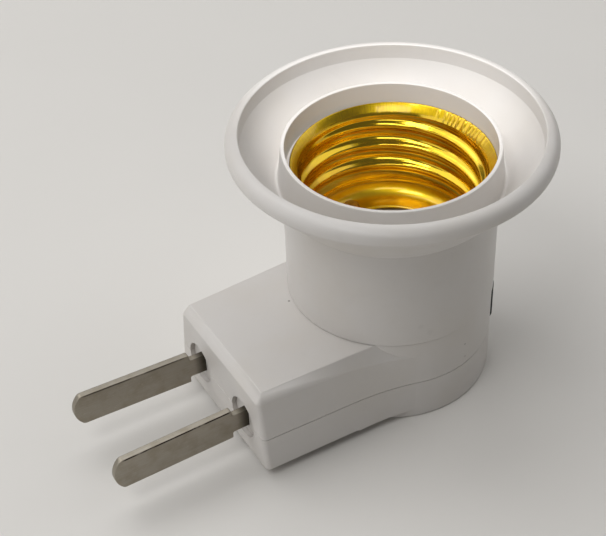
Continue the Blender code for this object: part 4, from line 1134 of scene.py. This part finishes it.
def switch_bezel():
    """The frame: a round-cornered bezel on a body with an open well."""
    back = SWITCH_FRONT - BEZEL
    mesh = box_along_x(back, SWITCH_FRONT, SWITCH_LENGTH, SWITCH_HEIGHT)
    rounded(mesh, [e for e in mesh.edges if reach(e, 0) > 100 * HAIR], BEZEL_CORNER, 8)
    near_front = SWITCH_FRONT * MM - 10 * HAIR
    front = [e for e in mesh.edges if all(v.co.x > near_front for v in e.verts)]
    rounded(mesh, front, 0.3, 4)
    bezel = new_piece("switch_bezel", tidy(mesh))
    combine(bezel, box_along_x(SWITCH_BACK, back + 0.5, *SWITCH_BODY), "UNION")
    well = box_along_x(SWITCH_BACK + 0.7, SWITCH_FRONT + 1.0, *SWITCH_WELL)
    rounded(well, [e for e in well.edges if reach(e, 0) > 100 * HAIR], 0.25, 3)
    return combine(bezel, well)


def rocker_solid():
    """Two flats that meet in a valley, round end skirts and a boss behind."""
    slope = math.tan(ROCKER_TILT)
    edge_y = 0.0
    for _ in range(12):
        edge_y = math.sqrt(ROCKER_REACH**2 - (ROCKER_FACE + slope * edge_y) ** 2)
    edge_x = ROCKER_FACE + slope * edge_y
    mesh = bmesh.new()
    vert = mesh.verts.new((ROCKER_FACE * MM, 0.0, 0.0))
    vert = line_to(mesh, vert, edge_x, edge_y)
    sweep = math.pi / 2 + math.asin(ROCKER_SKIRT / ROCKER_REACH) - math.atan2(edge_y, edge_x)
    vert = spun_vert(mesh, vert, (0.0, 0.0), sweep, 14)
    boss_half, boss_back = ROCKER_BOSS
    for corner in ((-ROCKER_SKIRT, boss_half), (-boss_back, boss_half), (-boss_back, 0.0)):
        vert = line_to(mesh, vert, *corner)
    mirrored(mesh)
    bmesh.ops.edgeloop_fill(mesh, edges=mesh.edges[:])
    moved(mesh, 0.0, 0.0, -ROCKER_WIDTH / 2)
    raised(mesh, mesh.faces[:][0], lambda co: co + Vector((0.0, 0.0, ROCKER_WIDTH * MM)))
    ends = [e for e in mesh.edges if reach(e, 2) < HAIR]
    rounded(mesh, [e for e in ends if max(v.co.x for v in e.verts) > -0.5 * MM], 0.22, 3)
    tilt = Matrix.Rotation(-ROCKER_TILT, 3, "Z")
    bmesh.ops.rotate(mesh, matrix=tilt, cent=(0.0, 0.0, 0.0), verts=mesh.verts[:])
    return tidy(moved(mesh, ROCKER_PIVOT_X, 0.0, SWITCH_Z))


def build_switch():
    bezel = smooth_flats(switch_bezel())
    dress(bezel, black_moulding("bezel_finish"), "housing", "black_plastic", "switch_frame")
    rocker = new_piece("rocker_button", rocker_solid())
    radius, half = ROCKER_STUD
    studs = rod(radius, SWITCH_Z - half, SWITCH_Z + half, (ROCKER_PIVOT_X, 0.0), 32)
    smooth_flats(combine(rocker, studs, "UNION"))
    dress(rocker, black_moulding("rocker_finish"), "rocker", "black_plastic", "rocker")


# Screws


def build_screws():
    long, wide, deep = CROSS_RECESS
    for name, x, y, underside in COVER_SCREWS:
        top = underside + SCREW_LEDGE - 0.05
        bottom = top - SCREW_HEAD
        section = (
            (0.0, top + SCREW_LENGTH, 0.0),
            (SCREW_RADIUS, top + SCREW_LENGTH, 0.5),
            (SCREW_RADIUS, top, 0.0),
            (SCREW_HEAD_RADIUS, top, 0.05),
            (SCREW_HEAD_RADIUS, bottom, 0.45),
            (0.0, bottom, 0.0),
        )
        screw = new_piece(f"cross_screw_{name}", moved(turned(section, 48, 5), x, y, 0.0))
        for half_x, half_y in ((long, wide), (wide, long)):
            low, high = (x - half_x, y - half_y), (x + half_x, y + half_y)
            combine(screw, box((*low, bottom - 1.0), (*high, bottom + deep)))
        smooth_flats(screw)
        node = f"cover_screw_{name}"
        dress(screw, zinc_metal(node + "_finish"), "housing", "zinc_steel", node)


# Pieces that keep their CAD shape


STRIPS = ("live_strip", "neutral_strip", "switch_strip")
SWITCH_METAL = ("plunger", "switch_arm", "common_terminal", "outer_terminal")
KEPT_NODES = {
    brass_metal: STRIPS + SWITCH_METAL,
    zinc_metal: ("holder_screw_near", "holder_screw_far"),
}


def finish_kept_nodes():
    for paint, nodes in KEPT_NODES.items():
        for node in nodes:
            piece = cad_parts[node]
            piece.data.materials.clear()
            piece.data.materials.append(paint(node + "_finish"))


# Stage


def aimed(lamp, azimuth, elevation, distance, target):
    """Places a lamp so that it looks at a point. Azimuth runs from +X towards +Y."""
    turn, rise = math.radians(azimuth), math.radians(elevation)
    level = math.cos(rise)
    away = Vector((math.cos(turn) * level, math.sin(turn) * level, math.sin(rise)))
    lamp_object = in_scene(lamp.name, lamp)
    lamp_object.location = away * distance + Vector(target) * MM
    lamp_object.rotation_mode = "QUATERNION"
    lamp_object.rotation_quaternion = away.to_track_quat("Z", "Y")
    return lamp_object


def area_lamp(name, azimuth, elevation, distance, size, power):
    """A soft lamp, size wide and high, that looks at the holder."""
    lamp = bpy.data.lights.new(name, "AREA")
    lamp.shape = "RECTANGLE"
    lamp.size, lamp.size_y = size
    lamp.energy = power
    return aimed(lamp, azimuth, elevation, distance, LAMP_TARGET)


LAMP_TARGET = (0.0, 0.0, 20.0)
# Name, azimuth, elevation, distance and size in metres, power in watts
LAMPS = (
    ("Window", 135.0, 42.0, 0.9, (0.9, 0.9), 3.1),
    ("Ceiling", 90.0, 62.0, 0.6, (0.5, 0.5), 1.2),
    ("Side", 180.0, 18.0, 0.9, (0.7, 0.5), 1.1),
    ("Right", 0.0, 42.0, 0.9, (0.9, 0.9), 2.2),
    ("Key", 200.0, 58.0, 0.5, (0.18, 0.18), 0.5),
)
FAR_WALL = ("Far_wall", 236.0, 40.0, 1.0, (0.6, 0.22), 1.2)
CUP_SPOT = {
    "azimuth": 236.0,
    "elevation": 62.0,
    "distance": 1.0,
    "cone": 2.7,
    "blend": 0.6,
    "radius": 0.003,
    "power": 33.0,
    "target": (5.3, 7.9, 40.0),
}


def build_lamps():
    """Soft lamps, a bright wall that only shows in mirrors, and a spot on the cup alone."""
    for lamp in LAMPS:
        area_lamp(*lamp)
    area_lamp(*FAR_WALL).visible_diffuse = False
    spot = bpy.data.lights.new("Cup_spot", "SPOT")
    spot.spot_size = math.radians(CUP_SPOT["cone"])
    spot.spot_blend = CUP_SPOT["blend"]
    spot.shadow_soft_size = CUP_SPOT["radius"]
    spot.energy = CUP_SPOT["power"]
    place = [CUP_SPOT[key] for key in ("azimuth", "elevation", "distance", "target")]
    lit = bpy.data.collections.new("Lit_by_cup_spot")
    lit.objects.link(bpy.data.objects["cup"])
    aimed(spot, *place).light_linking.receiver_collection = lit


def build_world():
    """A plain even room. The pale background in the picture is the tabletop."""
    world = bpy.data.worlds.new("Room")
    world.use_nodes = True
    bpy.context.scene.world = world
    background = world.node_tree.nodes["Background"]
    background.inputs["Color"].default_value = (1.0, 0.99, 0.97, 1.0)
    background.inputs["Strength"].default_value = settings().room_light


def build_floor():
    """A wide matt tabletop."""
    mesh = bmesh.new()
    bmesh.ops.create_circle(mesh, cap_ends=True, segments=96, radius=3.0)
    top = new_piece("tabletop", mesh)
    colour = tuple(settings().table_colour)
    finish = Finish("table_finish", specular_ior_level=0.25)
    cloud = finish.noise(60.0, 3.0)
    fleck = finish.noise(0.5, 2.0)
    paint = finish.mix(cloud.between(0.3, 0.7), colour, tinted(colour, 0.985, 0.985, 0.985))
    paint = finish.mix(fleck.between(0.7, 0.8) * 0.05, paint, (0.4, 0.39, 0.37))
    matt = finish.done(paint, cloud * 0.1 + 0.5, finish.bump(fleck, 0.01, 0.3))
    top.data.materials.append(matt)


def build_camera():
    camera = bpy.data.cameras.new("Camera")
    camera.lens = CAMERA_LENS
    camera.sensor_width = 36.0
    camera.clip_start = 0.01
    camera_object = in_scene("Camera", camera)
    camera_object.location = Vector(CAMERA_PLACE) * MM
    camera_object.rotation_euler = [math.radians(angle) for angle in CAMERA_TURN]
    bpy.context.scene.camera = camera_object
    bpy.context.scene.view_settings.view_transform = "Standard"


# Properties, operators and panel


class LampHolderSettings(bpy.types.PropertyGroup):
    """Sizes and colours that a user would change."""

    seam: bpy.props.FloatProperty(
        name="Seam",
        description="Width of the seam shown between two mouldings",
        default=0.08 * MM,
        min=0.0,
        unit="LENGTH",
    )
    plastic_colour: bpy.props.FloatVectorProperty(
        name="Plastic colour",
        description="Colour of the white mouldings",
        default=(0.64, 0.615, 0.59),
        subtype="COLOR",
        min=0.0,
        max=1.0,
    )
    plastic_roughness: bpy.props.FloatProperty(
        name="Plastic roughness",
        description="How matt the white mouldings are",
        default=0.34,
        min=0.0,
        max=1.0,
        subtype="FACTOR",
    )
    shell_colour: bpy.props.FloatVectorProperty(
        name="Shell colour",
        description="Colour of the golden screw shell",
        default=(0.84, 0.56, 0.012),
        subtype="COLOR",
        min=0.0,
        max=1.0,
    )
    pin_colour: bpy.props.FloatVectorProperty(
        name="Pin colour",
        description="Colour of the pins' plating",
        default=(0.36, 0.33, 0.28),
        subtype="COLOR",
        min=0.0,
        max=1.0,
    )
    table_colour: bpy.props.FloatVectorProperty(
        name="Table colour",
        description="Colour of the tabletop",
        default=(0.735, 0.715, 0.683),
        subtype="COLOR",
        min=0.0,
        max=1.0,
    )
    room_light: bpy.props.FloatProperty(
        name="Room light",
        description="Strength of the even light from all round",
        default=0.11,
        min=0.0,
    )


class LAMP_HOLDER_OT_cup(bpy.types.Operator):
    """Build the cup with its flared rim, dish and collar"""

    bl_idname = "lamp_holder.cup"
    bl_label = "Cup"

    def execute(self, context):
        build_cup()
        return {"FINISHED"}


class LAMP_HOLDER_OT_housing(bpy.types.Operator):
    """Build the two halves of the housing"""

    bl_idname = "lamp_holder.housing"
    bl_label = "Housing halves"

    def execute(self, context):
        build_housing()
        return {"FINISHED"}


class LAMP_HOLDER_OT_shell(bpy.types.Operator):
    """Build the rolled screw shell"""

    bl_idname = "lamp_holder.shell"
    bl_label = "Screw shell"

    def execute(self, context):
        build_shell()
        return {"FINISHED"}


class LAMP_HOLDER_OT_socket_floor(bpy.types.Operator):
    """Build the contact disc, its rivets and the spring contact"""

    bl_idname = "lamp_holder.socket_floor"
    bl_label = "Socket floor"

    def execute(self, context):
        build_socket_floor()
        return {"FINISHED"}


class LAMP_HOLDER_OT_pins(bpy.types.Operator):
    """Build the two pins and the hubs that they turn in"""

    bl_idname = "lamp_holder.pins"
    bl_label = "Pins and hubs"

    def execute(self, context):
        build_pins()
        return {"FINISHED"}


class LAMP_HOLDER_OT_switch(bpy.types.Operator):
    """Build the switch's bezel and rocker"""

    bl_idname = "lamp_holder.switch"
    bl_label = "Switch"

    def execute(self, context):
        build_switch()
        return {"FINISHED"}


class LAMP_HOLDER_OT_screws(bpy.types.Operator):
    """Build the screws under the cover"""

    bl_idname = "lamp_holder.screws"
    bl_label = "Cover screws"

    def execute(self, context):
        build_screws()
        return {"FINISHED"}


class LAMP_HOLDER_OT_inside(bpy.types.Operator):
    """Give the metal pieces inside the housing their finish"""

    bl_idname = "lamp_holder.inside"
    bl_label = "Inner metal"

    def execute(self, context):
        finish_kept_nodes()
        return {"FINISHED"}


class LAMP_HOLDER_OT_stage(bpy.types.Operator):
    """Set up the tabletop, the lamps, the room light and the camera"""

    bl_idname = "lamp_holder.stage"
    bl_label = "Stage"

    def execute(self, context):
        build_floor()
        build_world()
        build_lamps()
        build_camera()
        return {"FINISHED"}


OPERATORS = (
    LAMP_HOLDER_OT_cup,
    LAMP_HOLDER_OT_housing,
    LAMP_HOLDER_OT_shell,
    LAMP_HOLDER_OT_socket_floor,
    LAMP_HOLDER_OT_pins,
    LAMP_HOLDER_OT_switch,
    LAMP_HOLDER_OT_screws,
    LAMP_HOLDER_OT_inside,
    LAMP_HOLDER_OT_stage,
)


class VIEW3D_PT_lamp_holder(bpy.types.Panel):
    """Sizes, colours and steps of the lamp holder"""

    bl_label = "Lamp Holder"
    bl_idname = "VIEW3D_PT_lamp_holder"
    bl_space_type = "VIEW_3D"
    bl_region_type = "UI"
    bl_category = "Lamp Holder"

    def draw(self, context):
        layout = self.layout
        for name in LampHolderSettings.__annotations__:
            layout.prop(context.scene.lamp_holder, name)
        for operator in OPERATORS:
            layout.operator(operator.bl_idname)


CLASSES = (LampHolderSettings, *OPERATORS, VIEW3D_PT_lamp_holder)


def register():
    for cls in CLASSES:
        bpy.utils.register_class(cls)
    bpy.types.Scene.lamp_holder = bpy.props.PointerProperty(type=LampHolderSettings)


def unregister():
    del bpy.types.Scene.lamp_holder
    for cls in reversed(CLASSES):
        bpy.utils.unregister_class(cls)


def main():
    register()
    bpy.ops.lamp_holder.cup()
    bpy.ops.lamp_holder.housing()
    bpy.ops.lamp_holder.shell()
    bpy.ops.lamp_holder.socket_floor()
    bpy.ops.lamp_holder.pins()
    bpy.ops.lamp_holder.switch()
    bpy.ops.lamp_holder.screws()
    bpy.ops.lamp_holder.inside()
    bpy.ops.lamp_holder.stage()


if __name__ == "__main__":
    main()
